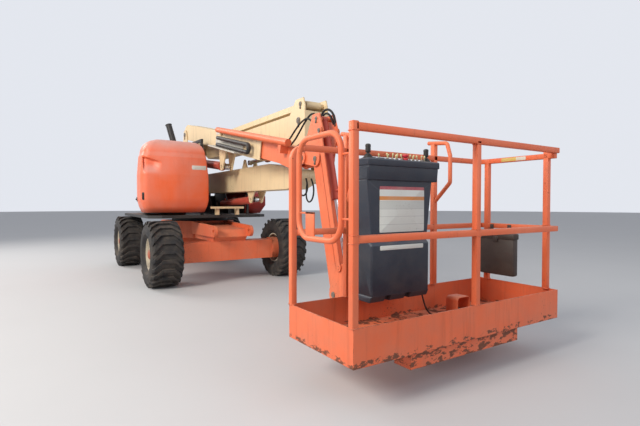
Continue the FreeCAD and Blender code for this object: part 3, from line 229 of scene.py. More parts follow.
def streak_group():
    """Run marks: noise drawn out along Z, only on upright faces."""
    tree, given = new_group("Run marks", (("Scale", 22.0), ("Amount", 0.4)))
    upright = calc(tree, "SUBTRACT", 1.0, calc(tree, "ABSOLUTE", facing_up(tree)), True)
    drawn = drawn_out(tree, own_place(tree), 0.06)
    lines = remap(tree, noise(tree, drawn, given["Scale"], 5.0, 0.7), 0.5, 0.75)
    both = calc(tree, "MULTIPLY", lines, upright)
    return sealed(tree, calc(tree, "MULTIPLY", both, given["Amount"], True))


def chip_group():
    """Chips: small islands where fine noise passes a limit, gathered by a slower noise."""
    tree, given = new_group("Chips", (("Scale", 60.0), ("Amount", 0.5)))
    spot = own_place(tree)
    fine = noise(tree, spot, given["Scale"], 5.0, 0.7)
    slow = noise(tree, spot, 3.0, 3.0, 0.5)
    both = calc(tree, "ADD", calc(tree, "MULTIPLY", fine, 0.7), calc(tree, "MULTIPLY", slow, 0.3))
    mask = remap(tree, both, 0.62, 0.65)
    return sealed(tree, calc(tree, "MULTIPLY", mask, given["Amount"], True))


def grain_group():
    """Surface height: a fine grain and a slower waviness of the panel."""
    tree, given = new_group("Grain", (("Scale", 220.0), ("Wave", 6.0), ("Share", 0.3)), "Height")
    spot = own_place(tree)
    fine = noise(tree, spot, given["Scale"], 3.0, 0.6)
    wave = noise(tree, spot, given["Wave"], 2.0, 0.5)
    return sealed(tree, calc(tree, "ADD", calc(tree, "MULTIPLY", fine, given["Share"]), wave))


def low_chip_group():
    """Knocks along the tray's lower edge: islands of noise, fewer the higher they lie."""
    tree, given = new_group("Low chips", (("Edge", 0.255), ("Reach", 0.055)))
    spot = own_place(tree)
    above = calc(tree, "SUBTRACT", height_of(tree, spot), given["Edge"])
    near = remap(tree, calc(tree, "DIVIDE", above, given["Reach"]), 1.0, 0.0)
    island = noise(tree, drawn_out(tree, spot, 2.2), 13.0, 7.0, 0.72)
    both = calc(tree, "MULTIPLY", near, remap(tree, island, 0.47, 0.62))
    return sealed(tree, remap(tree, both, 0.22, 0.34))


GROUP_MAKERS = {"Edge wear": edge_group, "Dust": dust_group, "Fading": fade_group,
                "Run marks": streak_group, "Chips": chip_group, "Grain": grain_group,
                "Low chips": low_chip_group}


def effect(tree, name, values, output="Mask"):
    """One shared group placed in a material with its own values."""
    shared = bpy.data.node_groups.get(name) or GROUP_MAKERS[name]()
    made = tree.nodes.new("ShaderNodeGroup")
    made.node_tree = shared
    for key, value in values.items():
        made.inputs[key].default_value = value
    return made.outputs[output]


def solid_colour(colour):
    """A colour with full cover."""
    return (*colour, 1.0)


def new_material(name):
    """An empty material, its node tree and its shader."""
    made = bpy.data.materials.new(name)
    made.use_nodes = True
    tree = made.node_tree
    return made, tree, tree.nodes["Principled BSDF"]


def wire(tree, shader, colour, rough):
    """Wire a shader's colour and roughness."""
    tree.links.new(colour, shader.inputs["Base Color"])
    tree.links.new(rough, shader.inputs["Roughness"])


def rounded_normal(tree, shader, height, strength, distance, radius):
    """Bump over a normal that is rounded at the edges, so that no edge is knife sharp."""
    bevel = put(tree, "ShaderNodeBevel", {"Radius": radius}, samples=4)
    bump = put(tree, "ShaderNodeBump", {"Height": height, "Strength": strength,
                                        "Distance": distance, "Normal": bevel.outputs[0]})
    tree.links.new(bump.outputs[0], shader.inputs["Normal"])


def painted(name, paint, faded, bare, dust, shine=0.42, wear=0.8, dusty=0.7, streaks=0.3,
            chips=0.6, round_edge=0.004, fade_and_sheen_up=0.5, wave=5.0, cloudy=0.45, low_chips=False):
    """Weathered paint: fading, which on faces that look up can also stand as a painted sheen, run
    marks, dust, chips and bare edges over one colour.
    """
    made, tree, shader = new_material(name)
    shader.inputs["Specular IOR Level"].default_value = 0.32
    colour = blend_colour(tree, effect(tree, "Fading", {"Upward": fade_and_sheen_up, "Cloud": cloudy}),
                          solid_colour(paint), solid_colour(faded))
    dark = tuple(c * 0.45 for c in paint)
    colour = blend_colour(tree, effect(tree, "Run marks", {"Amount": streaks}), colour,
                          solid_colour(dark))
    dust_mask = effect(tree, "Dust", {"Amount": dusty})
    colour = blend_colour(tree, dust_mask, colour, solid_colour(dust))
    chip_mask = effect(tree, "Chips", {"Amount": chips})
    edge_mask = effect(tree, "Edge wear", {"Amount": wear})
    gone = calc(tree, "MAXIMUM", chip_mask, edge_mask)
    if low_chips:
        gone = calc(tree, "MAXIMUM", gone, effect(tree, "Low chips", {}))
    colour = blend_colour(tree, gone, colour, solid_colour(bare))
    height = calc(tree, "SUBTRACT", effect(tree, "Grain", {"Wave": wave}, "Height"),
                  calc(tree, "MULTIPLY", gone, 0.4))
    rough = calc(tree, "ADD", calc(tree, "MULTIPLY", dust_mask, 0.35), shine)
    wire(tree, shader, colour,
         calc(tree, "ADD", rough, calc(tree, "MULTIPLY", gone, 0.25), True))
    rounded_normal(tree, shader, height, 0.35, 0.002, round_edge)
    return made


def rubber(name, colour, dust):
    """Tyre rubber: grey with dust in the low places and on the treads, finely grained."""
    made, tree, shader = new_material(name)
    mask = effect(tree, "Dust", {"Amount": 0.75, "Scale": 9.0, "Ground": 0.55})
    shader.inputs["Specular IOR Level"].default_value = 0.3
    base = blend_colour(tree, effect(tree, "Fading", {"Scale": 7.0, "Upward": 0.1}),
                        solid_colour(colour), solid_colour(tuple(c * 1.9 for c in colour)))
    wire(tree, shader, blend_colour(tree, mask, base, solid_colour(dust)),
         calc(tree, "ADD", calc(tree, "MULTIPLY", mask, 0.2), 0.72, True))
    rounded_normal(tree, shader, effect(tree, "Grain", {"Scale": 160.0}, "Height"), 0.5, 0.003,
                   0.006)
    return made


def moulded(name, colour, dust, rough=0.5, dusty=0.5):
    """Textured moulded plastic with scuffs along its edges and settled dust."""
    made, tree, shader = new_material(name)
    mask = effect(tree, "Dust", {"Amount": dusty, "Scale": 7.0})
    pale = tuple(min(c * 2.2 + 0.012, 1.0) for c in colour)
    shader.inputs["Specular IOR Level"].default_value = 0.35
    base = blend_colour(tree, effect(tree, "Fading", {"Scale": 3.0, "Upward": 0.6, "Cloud": 0.2}),
                        solid_colour(colour), solid_colour(pale))
    base = blend_colour(tree, effect(tree, "Edge wear", {"Amount": 0.5}), base,
                        solid_colour(tuple(c + 0.06 for c in pale)))
    wire(tree, shader, blend_colour(tree, mask, base, solid_colour(dust)),
         calc(tree, "ADD", calc(tree, "MULTIPLY", mask, 0.3), rough, True))
    rounded_normal(tree, shader, effect(tree, "Grain", {"Scale": 420.0, "Share": 0.8}, "Height"),
                   0.3, 0.0012, 0.005)
    return made


def chromed(name):
    """Hard chrome with fine wiping marks and a film of dust."""
    made, tree, shader = new_material(name)
    mask = effect(tree, "Dust", {"Amount": 0.5, "Scale": 12.0})
    wire(tree, shader,
         blend_colour(tree, mask, (0.62, 0.62, 0.63, 1.0), (0.34, 0.31, 0.27, 1.0)),
         calc(tree, "ADD", calc(tree, "MULTIPLY", mask, 0.4), 0.14, True))
    tree.links.new(calc(tree, "SUBTRACT", 1.0, mask, True), shader.inputs["Metallic"])
    rounded_normal(tree, shader, effect(tree, "Grain", {"Scale": 300.0}, "Height"), 0.1, 0.001,
                   0.002)
    return made


SLOT_FINISH = {
    "tyre_rubber": "rubber", "rim_paint": "rim", "orange_paint": "orange", "hood_orange": "hood",
    "hood_red": "red", "cream_paint": "cream", "black_steel": "black", "stack_black": "black",
    "ram_red": "ram", "rod_chrome": "chrome", "tray_grey": "grey", "chain_plastic": "plastic",
    "console_plastic": "console",
}


NODE_FINISH = {"platform_floor": "tray", "engine_block": "machinery", "fluid_tank": "machinery",
               "lift_ram_rod": "chrome"}


def make_finishes(colours):
    """Every finish of the machine by name."""
    c = {name: tuple(getattr(colours, name)) for name in LiftColours.__annotations__}

    def tone(name, by):
        """A colour made darker or brighter."""
        return tuple(min(v * by, 1.0) for v in c[name])

    return {
        "orange": painted("Orange paint", c["orange"], (0.82, 0.250, 0.125), c["rust"], c["dust"],
                          shine=0.45, wear=0.75, dusty=0.45),
        # Engine cover: faces that look up and cloudy patches pale towards the pink, which is
        # faded paint and partly a painted sky reflection and sheen
        "hood": painted("Hood orange", c["hood"], c["hood_pale"], tone("hood", 0.5), c["dust"],
                        shine=0.40, wear=0.2, dusty=0.12, streaks=0.12, chips=0.06, wave=2.5,
                        round_edge=0.012, fade_and_sheen_up=0.85, cloudy=0.40),
        "tray": painted("Platform tray", c["orange"], (0.80, 0.235, 0.115),
                        (0.17, 0.062, 0.036), c["dust"], shine=0.45, wear=0.9, dusty=0.5,
                        chips=0.7, low_chips=True),
        # Far cover: its dark red is the orange, slightly redder, with painted shade laid into the
        # paint
        "red": painted("Cover red", c["red"], tone("red", 1.6), tone("red", 0.5), c["dust"],
                       shine=0.4, wear=0.3, dusty=0.4, chips=0.1),
        "cream": painted("Cream paint", c["cream"], tone("cream", 1.14), c["rust"], c["dust"],
                         shine=0.45, wear=0.5, dusty=0.5, streaks=0.45),
        "black": painted("Oily black", c["black"], tone("black", 2.2), (0.05, 0.03, 0.02),
                         c["dust"], shine=0.5, wear=0.5, dusty=0.5),
        "ram": painted("Ram red", c["ram"], tone("ram", 1.4), c["rust"], c["dust"], wear=0.4),
        "grey": painted("Tray grey", c["grey"], tone("grey", 1.2), (0.2, 0.19, 0.17), c["dust"],
                        shine=0.5),
        "rim": painted("Rim cream", c["rim"], tone("rim", 1.2), c["rust"], c["dust"], dusty=1.0),
        "rubber": rubber("Tyre rubber", c["rubber"], tone("dust", 0.55)),
        "console": moulded("Console plastic", c["console"], tone("dust", 0.9), 0.42, 0.45),
        "plastic": moulded("Black plastic", (0.012, 0.012, 0.013), tone("dust", 0.7), 0.5),
        "chrome": chromed("Chrome"),
        "machinery": painted("Machinery", (0.035, 0.034, 0.033), (0.07, 0.065, 0.06),
                             (0.06, 0.035, 0.02), c["dust"], shine=0.5, wear=0.4, dusty=0.8),
        "box": moulded("Box plastic", (0.040, 0.030, 0.026), tone("dust", 0.8), 0.5),
        "switch": moulded("Switch levers", (0.50, 0.44, 0.24), tone("dust", 0.9), 0.4, 0.4),
        "stop": moulded("Stop button", (0.42, 0.018, 0.030), tone("dust", 0.9), 0.35, 0.3),
        "steel": painted("Bare steel", (0.13, 0.11, 0.095), (0.22, 0.19, 0.16), c["rust"],
                         c["dust"], shine=0.42, wear=0.4, chips=0.8),
        "hub": painted("Hub paint", tone("orange", 0.55), tone("orange", 0.8), c["rust"],
                       c["dust"], wear=0.7, dusty=1.0),
        "hose": rubber("Hose rubber", (0.012, 0.012, 0.013), tone("dust", 0.5)),
    }


# Each finish by name, once BuildFinishes has made them, and each sign's by the sign's name
FINISH = {}


def dress(thing, finish):
    """Give a CAD node's mesh one finish."""
    thing.data.materials.clear()
    thing.data.materials.append(FINISH[finish])


class BuildFinishes(bpy.types.Operator):
    """Make every finish and give each CAD node its own"""
    bl_idname = "lift.finishes"
    bl_label = "Finishes"

    def execute(self, context):
        FINISH.update(make_finishes(context.scene.lift_colours))
        slots = {part["node"]: part["material_slot"] for part in frame["record"]["subparts"]}
        for name, thing in frame["nodes"].items():
            dress(thing, NODE_FINISH.get(name, SLOT_FINISH[slots[name]]))
        return {"FINISHED"}


# The camera's place in the machine's plan, and its heading, tilt and lean in degrees
EYE = (6.943, -2.198, 1.068)
HEADING = (147.046, -1.278, 0.065)
FLOOR_RADIUS = 60
# Each lamp's place, size, power and colour, and the spot that all of them point at
LAMPS = (("Key", (3.5, -8.0, 5.5), 3.5, 760.0, (1.0, 0.95, 0.86)),
         ("Back", (-6.5, -4.5, 5.5), 4.0, 320.0, (1.0, 0.95, 0.88)),
         ("Fill", (8.5, 3.0, 4.0), 5.0, 130.0, (0.92, 0.96, 1.0)))
LAMP_AIM = (0.6, 0, 0.9)


def aim(yaw, pitch, roll):
    """The turn of a camera from its heading, its tilt and its lean, in degrees."""
    y, p = math.radians(yaw), math.radians(pitch)
    forward = Vector((math.cos(y) * math.cos(p), math.sin(y) * math.cos(p), math.sin(p)))
    right = Vector((math.sin(y), -math.cos(y), 0.0))
    up = right.cross(forward)
    turn = Matrix((right, up, -forward)).transposed()
    return (turn @ Matrix.Rotation(math.radians(roll), 3, "Z")).to_quaternion()


class BuildStage(bpy.types.Operator):
    """Camera at the photograph's place, pale floor and backdrop, and soft studio light"""
    bl_idname = "lift.stage"
    bl_label = "Stage"

    def execute(self, context):
        scene = context.scene
        data = bpy.data.cameras.new("Camera")
        data.sensor_fit = "HORIZONTAL"
        data.sensor_width = 36.0
        data.lens = scene.lift_sizes.lens
        data.clip_end = 200.0
        camera = bpy.data.objects.new("Camera", data)
        scene.collection.objects.link(camera)
        camera.rotation_mode = "QUATERNION"
        camera.location = parked(*EYE)
        camera.rotation_quaternion = aim(*HEADING)
        scene.camera = camera
        self.floor(scene)
        self.lights(scene)
        scene.view_settings.view_transform = "Standard"
        return {"FINISHED"}

    def floor(self, scene):
        """A wide disc with a slight grain."""
        sides = 96
        turn = np.linspace(0, 2 * math.pi, sides, endpoint=False)
        rim = np.stack([np.cos(turn) * FLOOR_RADIUS, np.sin(turn) * FLOOR_RADIUS,
                        np.zeros(sides)], axis=1)
        mesh = bpy.data.meshes.new("Floor")
        mesh.from_pydata(rim.tolist(), [], [list(range(sides))])
        made, tree, shader = new_material("Floor")
        colour = tuple(scene.lift_colours.floor)
        mask = effect(tree, "Fading", {"Scale": 0.8, "Upward": 0.0})
        tree.links.new(blend_colour(tree, mask, solid_colour(colour),
                                    solid_colour(tuple(c * 0.96 for c in colour))),
                       shader.inputs["Base Color"])
        shader.inputs["Roughness"].default_value = 0.85
        bump = put(tree, "ShaderNodeBump", {
            "Height": effect(tree, "Grain", {"Scale": 90.0}, "Height"), "Strength": 0.15,
            "Distance": 0.002})
        tree.links.new(bump.outputs[0], shader.inputs["Normal"])
        mesh.materials.append(made)
        ground = bpy.data.objects.new("Floor", mesh)
        scene.collection.objects.link(ground)

    def lights(self, scene):
        """A pale sky all round and three large soft lamps."""
        world = bpy.data.worlds.new("Studio")
        world.use_nodes = True
        tree = world.node_tree
        back = tree.nodes["Background"]
        path = put(tree, "ShaderNodeLightPath")
        seen = calc(tree, "MAXIMUM", path.outputs["Is Camera Ray"],
                    path.outputs["Is Glossy Ray"])
        back.inputs["Color"].default_value = (0.90, 0.93, 1.0, 1.0)
        tree.links.new(remap(tree, seen, 0.0, 1.0, 0.50, 0.86), back.inputs["Strength"])
        scene.world = world
        for name, spot, size, power, colour in LAMPS:
            data = bpy.data.lights.new(name, "AREA")
            data.shape = "DISK"
            data.size = size
            data.energy = power
            data.color = colour
            lamp = bpy.data.objects.new(name, data)
            scene.collection.objects.link(lamp)
            lamp.location = spot
            lamp.rotation_euler = (Vector(LAMP_AIM) - Vector(spot)).to_track_quat(
                "-Z", "Y").to_euler()


# Surfaces: every small form is rows of rings or a pressed plate, built as arrays

def weave(rows, columns, ring=True, loop=False):
    """Faces of a grid of points given row by row.

    A ring joins each row's last point to its first, a loop the last row to the first.
    """
    row = np.arange(rows if loop else rows - 1)[:, None]
    col = np.arange(columns if ring else columns - 1)[None, :]
    this, onward, beside = row * columns, (row + 1) % rows * columns, (col + 1) % columns
    return np.stack([this + col, this + beside, onward + beside, onward + col],
                    axis=-1).reshape(-1, 4)


def skin(rings):
    """Closed skin over rows of equal rings, each joined to the next, fanned shut at both ends."""
    rows, sides = rings.shape[:2]
    here = np.arange(sides)
    after = (here + 1) % sides
    points = np.concatenate([rings.reshape(-1, 3), rings[:1].mean(axis=1),
                             rings[-1:].mean(axis=1)])
    low, high, last = rows * sides, rows * sides + 1, (rows - 1) * sides
    first_fan = np.stack([after, here, np.full(sides, low)], axis=-1)
    last_fan = np.stack([here + last, after + last, np.full(sides, high)], axis=-1)
    return points, weave(rows, sides), np.concatenate([first_fan, last_fan])


def circle(sides):
    """Points of a circle of radius one, counter-clockwise."""
    turn = np.arange(sides) / sides * 2 * np.pi
    return np.stack([np.cos(turn), np.sin(turn)], axis=-1)


def lathe(profile, sides):
    """Turned form: the ring of point k is its radius times cosine and sine at its height."""
    across, along = circle(sides).T
    radius, height = np.array(profile, dtype=float).T
    return skin(np.stack([radius[:, None] * across, radius[:, None] * along,
                          height[:, None] + 0 * across], axis=-1))


def rounded(width, height, radius, steps=4):
    """Outline of a rectangle whose corners are quarter circles, counter-clockwise."""
    turn = np.linspace(0, np.pi / 2, steps)
    corners = []
    for index, (x, y) in enumerate(((1, 1), (-1, 1), (-1, -1), (1, -1))):
        angle = turn + index * np.pi / 2
        corners.append(np.stack([x * (width / 2 - radius) + radius * np.cos(angle),
                                 y * (height / 2 - radius) + radius * np.sin(angle)], axis=-1))
    return np.concatenate(corners)


def plate(width, height, thick, radius, bevel, dome=0.0):
    """Pressed plate: its outline rises to the bevel, steps in, and may dome in the middle."""
    rows = [(0.0, 0.0), (0.0, thick - bevel), (bevel * 0.3, thick - bevel * 0.3), (bevel, thick)]
    if dome:
        rows += [(min(width, height) * share, thick + dome * rise)
                 for share, rise in ((0.12, 0.45), (0.25, 0.8), (0.38, 1.0))]
    rings = []
    for inset, level in rows:
        outline = rounded(width - 2 * inset, height - 2 * inset, max(radius - inset, 0.0004))
        rings.append(np.column_stack([outline, np.full(len(outline), level)]))
    return skin(np.array(rings))


def bead(width, depth, radius, waves, seed=0.0):
    """Weld bead: a small circle carried round a rounded rectangle, its size rippled by a sine."""
    path = rounded(width, depth, radius * 1.6, 5)
    count = len(path)
    ahead = np.roll(path, -1, axis=0) - np.roll(path, 1, axis=0)
    out = np.stack([ahead[:, 1], -ahead[:, 0]], axis=-1)
    out /= np.linalg.norm(out, axis=1)[:, None]
    ripple = radius * (1 + 0.28 * np.sin(np.arange(count) * waves + seed))
    across, rise = circle(6).T
    ring = np.empty((count, 6, 3))
    ring[..., :2] = path[:, None] + out[:, None] * (ripple[:, None] * across)[..., None]
    ring[..., 2] = ripple[:, None] * rise
    return (ring.reshape(-1, 3), weave(count, 6, loop=True)[:, ::-1],
            np.empty((0, 3), dtype=int))


def turn_to(axis, up=(0.0, 0.0, 1.0)):
    """Matrix whose third column is the axis, and whose second lies towards up."""
    third = np.array(axis, dtype=float)
    third /= np.linalg.norm(third)
    helper = np.array(up) if abs(np.dot(up, third)) < 0.9 else np.array((1.0, 0.0, 0.0))
    first = np.cross(helper, third)
    first /= np.linalg.norm(first)
    return np.stack([first, np.cross(third, first), third], axis=1)


def placed(part, spot, axis=(0, 0, 1), up=(0.0, 0.0, 1.0)):
    """A form moved to a spot, with its height along the axis."""
    points, quads, triangles = part
    return points @ turn_to(axis, up).T + np.array(spot, dtype=float), quads, triangles


def add_piece(name, parts, body, finish):
    """One mesh object of all the parts, riding on a body, in a finish given by its name."""
    starts = np.cumsum([0] + [len(part[0]) for part in parts[:-1]])
    points = np.concatenate([part[0] for part in parts])
    quads = np.concatenate([part[1] + start for part, start in zip(parts, starts)])
    triangles = np.concatenate([part[2] + start for part, start in zip(parts, starts)])
    corners = np.concatenate([quads.ravel(), triangles.ravel()]).astype(np.int32)
    first = np.concatenate([np.arange(len(quads)) * 4,
                            len(quads) * 4 + np.arange(len(triangles)) * 3]).astype(np.int32)
    mesh = bpy.data.meshes.new(name)
    mesh.vertices.add(len(points))
    mesh.vertices.foreach_set("co", points.astype(np.float32).ravel())
    mesh.loops.add(len(corners))
    mesh.loops.foreach_set("vertex_index", corners)
    mesh.polygons.add(len(first))
    mesh.polygons.foreach_set("loop_start", first)
    mesh.polygons.foreach_set("use_smooth", np.full(len(first), True))
    mesh.update(calc_edges=True)
    mesh.set_sharp_from_angle(angle=math.radians(38))
    mesh.materials.append(FINISH[finish])
    thing = bpy.data.objects.new(name, mesh)
    bpy.context.scene.collection.objects.link(thing)
    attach(thing, body)
    return thing


def parked(x, y, z):
    """A point of the machine's plan, whose zero is the swing axis, as the frame has it."""
    return np.array((x + JOINTS["swing"]["pos_m"][0], y, z))


def land(nodes, start, towards):
    """Where a line first meets one of the shown nodes or pieces, and the normal there."""
    best = None
    bpy.context.view_layer.update()
    for name in nodes:
        thing = frame["nodes"].get(name) or bpy.data.objects[name]
        if thing.hide_render or thing.hide_viewport:
            continue
        hit, spot, normal, _ = thing.ray_cast(Vector(start), Vector(towards))
        far = (spot - Vector(start)).length if hit else 0.0
        if hit and (best is None or far < best[0]):
            best = (far, np.array(spot), np.array(normal))
    if best is None:
        raise RuntimeError("no face of %s lies there" % ", ".join(nodes))
    return best[1], best[2]


# Profiles of turned forms as radius and height; the pin head's are shares of the pin's radius
HEX_BOLT = ((0.0115, 0.0), (0.0115, 0.0022), (0.0104, 0.0026), (0.0088, 0.0027), (0.0090, 0.0085),
            (0.0082, 0.0095), (0.0040, 0.0097))
WASHER = ((0.0135, 0.0), (0.0135, 0.0020), (0.0128, 0.0025), (0.006, 0.0026))
PIN_HEAD = ((1.0, 0.0), (1.0, 0.20), (0.93, 0.27), (0.60, 0.30), (0.56, 0.24), (0.34, 0.24),
            (0.30, 0.34), (0.16, 0.36))


def bolts(spots, axis, size=1.0):
    """Hexagon bolts on washers, one at each spot."""
    head = lathe([(r * size, z * size) for r, z in HEX_BOLT], 6)
    ring = lathe([(r * size, z * size) for r, z in WASHER], 14)
    return [placed(part, spot, axis) for spot in spots for part in (ring, head)]


# Covers, platform and control box, made to the photograph where the CAD's are plainer

def eased(corners, radii, steps=6):
    """A path with its corners rounded, each as a rational curve of second order.

    The arc runs between the two points where the radius leaves the runs; its points are those
    two and the corner, weighed by (1-s)^2, s^2 and 2s(1-s) times the sine of the half angle.
    """
    corners = np.array(corners, dtype=float)
    middle = corners[1:-1]
    before, after = corners[:-2] - middle, corners[2:] - middle
    before /= np.linalg.norm(before, axis=1)[:, None]
    after /= np.linalg.norm(after, axis=1)[:, None]
    half = np.arccos(np.clip((before * after).sum(axis=1), -1, 1)) / 2
    back = (np.array(radii, dtype=float) / np.tan(half))[:, None]
    share = np.linspace(0, 1, steps)[None, :, None]
    one, two = (1 - share) ** 2, 2 * share * (1 - share) * np.sin(half)[:, None, None]
    three = share ** 2
    arcs = (one * (middle + before * back)[:, None] + two * middle[:, None]
            + three * (middle + after * back)[:, None]) / (one + two + three)
    return np.concatenate([corners[:1], arcs.reshape(-1, corners.shape[1]), corners[-1:]])


def tube(corners, bend, outline, up, steps=6):
    """A bar of one outline carried along a rounded path; up stays at the outline's side."""
    path = eased(corners, [bend] * (len(corners) - 2), steps)
    ahead = np.gradient(path, axis=0)
    ahead[0], ahead[-1] = path[1] - path[0], path[-1] - path[-2]
    ahead /= np.linalg.norm(ahead, axis=1)[:, None]
    side = np.cross(ahead, np.array(up, dtype=float))
    side /= np.linalg.norm(side, axis=1)[:, None]
    other = np.cross(side, ahead)
    rings = (path[:, None] + side[:, None] * outline[None, :, :1]
             + other[:, None] * outline[None, :, 1:])
    return skin(rings[:, ::-1])


def bar(low, high, edge=0.003):
    """A straight bar or box between two corners, its edges rounded off."""
    low, high = np.array(low, dtype=float), np.array(high, dtype=float)
    size = high - low
    outline = rounded(size[0], size[1], edge, 3)
    rows = ((edge, 0.0), (edge * 0.3, edge * 0.3), (0.0, edge), (0.0, size[2] - edge),
            (edge * 0.3, size[2] - edge * 0.3), (edge, size[2]))
    rings = [np.column_stack([outline * (1 - 2 * inset / size[:2]), np.full(len(outline), z)])
             for inset, z in rows]
    points, quads, triangles = skin(np.array(rings))
    return points + (*((low + high) / 2)[:2], low[2]), quads, triangles


def prism(corners, radii, span, along="y", edge=0.004):
    """A flat form of one rounded outline, pressed through a width, its rims eased."""
    corners = np.array(corners, dtype=float)
    ring = eased(np.concatenate([[(corners[0] + corners[-1]) / 2], corners,
                                 [(corners[0] + corners[-1]) / 2]]), radii, 4)[:-1]
    centre = ring.mean(axis=0)
    shrunk = centre + (ring - centre) * (1 - edge * 2 / np.ptp(ring, axis=0))
    rows = ((shrunk, span[0]), (ring, span[0] + edge), (ring, span[1] - edge), (shrunk, span[1]))
    order = {"y": (0, 2, 1), "x": (2, 0, 1)}[along]
    rings = np.array([np.column_stack([row, np.full(len(row), where)])[:, order]
                      for row, where in rows])
    part = skin(rings)
    spokes = rings[0] - rings[0].mean(axis=0)
    facing = np.cross(spokes, np.roll(spokes, -1, axis=0)).sum(axis=0)
    turned = np.dot(facing, rings[-1][0] - rings[0][0]) < 0
    return (part[0], part[1][:, ::-1], part[2][:, ::-1]) if turned else part


def on_machine(parts):
    """Parts drawn in the machine's plan, moved to where the record has it."""
    shift = parked(0.0, 0.0, 0.0)
    return [(points + shift, quads, triangles) for points, quads, triangles in parts]


def soft_step(value, start, run):
    """Zero up to the start, one after the run, and s^2 (3 - 2s) between."""
    share = np.clip((value - start) / run, 0, 1)
    return share ** 2 * (3 - 2 * share)


# Where the hand recess begins across and down the engine cover, and the wall it is pressed into
RECESS_Y, RECESS_Z, RECESS_AHEAD, RECESS_DEPTH = -1.035, 1.686, 0.80, 0.050


def cover(plan, levels, hollow=0.0):
    """A moulded cover, open below and towards the booms.

    Each level is one rounded outline, drawn in by its shrink and from the open side by its
    roll, and shared out to the same columns; between the levels the wall runs straight. The
    roof joins each front point to its partner at the rear and is domed by a sine. The hand
    recess pushes the wall in by a product of soft steps across and down.
    """
    front, rear, inner, outer, rear_outer, corner, rear_corner, side = plan
    stations = np.concatenate([np.linspace(0, 0.29, 100, endpoint=False),
                               np.linspace(0.29, 1.0, 90)])
    rings = []
    for z, shrink, roll in levels:
        open_y, out, f, r = inner + roll, outer - shrink, front - shrink, rear + shrink
        bulge = (out - open_y) * 0.035
        ring = eased([(f - bulge, open_y), (f, (open_y + out) / 2), (f - bulge, out),
                      (f - 0.33, out), (r, rear_outer - shrink), (r, open_y)],
                     (0.5, corner, 0.9, rear_corner), 9)
        far = np.concatenate([[0], np.linalg.norm(np.diff(ring, axis=0), axis=1).cumsum()])
        at = stations * far[-1]
        rings.append(np.column_stack([np.interp(at, far, ring[:, 0]),
                                      np.interp(at, far, ring[:, 1]) * side,
                                      np.full(len(at), z)]))
    rings = np.array(rings)
    if hollow:
        across, down = rings[..., 1] - RECESS_Y, RECESS_Z - rings[..., 2]
        mask = (soft_step(across, 0.0, 0.020) * soft_step(down - across * 0.30, 0.0, 0.016)
                * (1 - soft_step(across, 0.12, 0.12)) * (1 - soft_step(down, 0.10, 0.13))
                * (rings[..., 0] > RECESS_AHEAD))
        rings[..., 0] -= mask * hollow
    pairs = rings.shape[1] // 2
    ahead, behind = rings[-1, :pairs], rings[-1, ::-1][:pairs]
    share = np.linspace(0, 1, 24)[:, None, None]
    roof = ahead[None] * (1 - share) + behind[None] * share
    roof[..., 2] += 0.012 * np.sin(share[..., 0] * np.pi) * np.linspace(1, 0, pairs)[None]
    grids = []
    for grid, flip in ((rings, side < 0), (roof, side > 0)):
        quads = weave(*grid.shape[:2], ring=False)
        grids.append((grid.reshape(-1, 3), quads[:, ::-1] if flip else quads,
                      np.empty((0, 3), dtype=int)))
    return grids


def crown(top, high, lean, roll, angles):
    """A cover's last levels: a quarter circle from the wall to the roof."""
    turn = np.radians(angles)
    return [(top - high * (1 - math.sin(a)), lean + high * (1 - math.cos(a)),
             roll * (1 - math.cos(a))) for a in turn]


# Front, rear, inner edge, outer edge, outer edge at the rear, corner's radius, rear corner's
# radius, and the side of the machine
ENGINE_PLAN = (0.950, -1.180, 0.166, 1.062, 0.720, 0.095, 0.200, -1)
TANK_PLAN = (0.360, -1.080, 0.640, 1.010, 0.920, 0.050, 0.060, 1)
# Heights below the crown, and how far the cover is drawn in there
ENGINE_FOOT = ((0.940, 0.070), (1.02, 0.030), (1.10, 0.004), (1.14, 0.0), (1.30, 0.0),
               (1.40, 0.0))
TANK_FOOT = ((0.905, 0.070), (1.035, 0.0), (1.10, 0.0))
ENGINE_WALL, TANK_WALL = 0.012, 0.010


def walled(thing, thick):
    """Give an open skin its wall's thickness, inwards, with its seam welded."""
    weld = thing.modifiers.new("Seam", "WELD")
    weld.merge_threshold = 0.0004
    wall = thing.modifiers.new("Wall", "SOLIDIFY")
    wall.thickness = thick
    wall.offset = -1.0
    wall.use_even_offset = False
    return thing


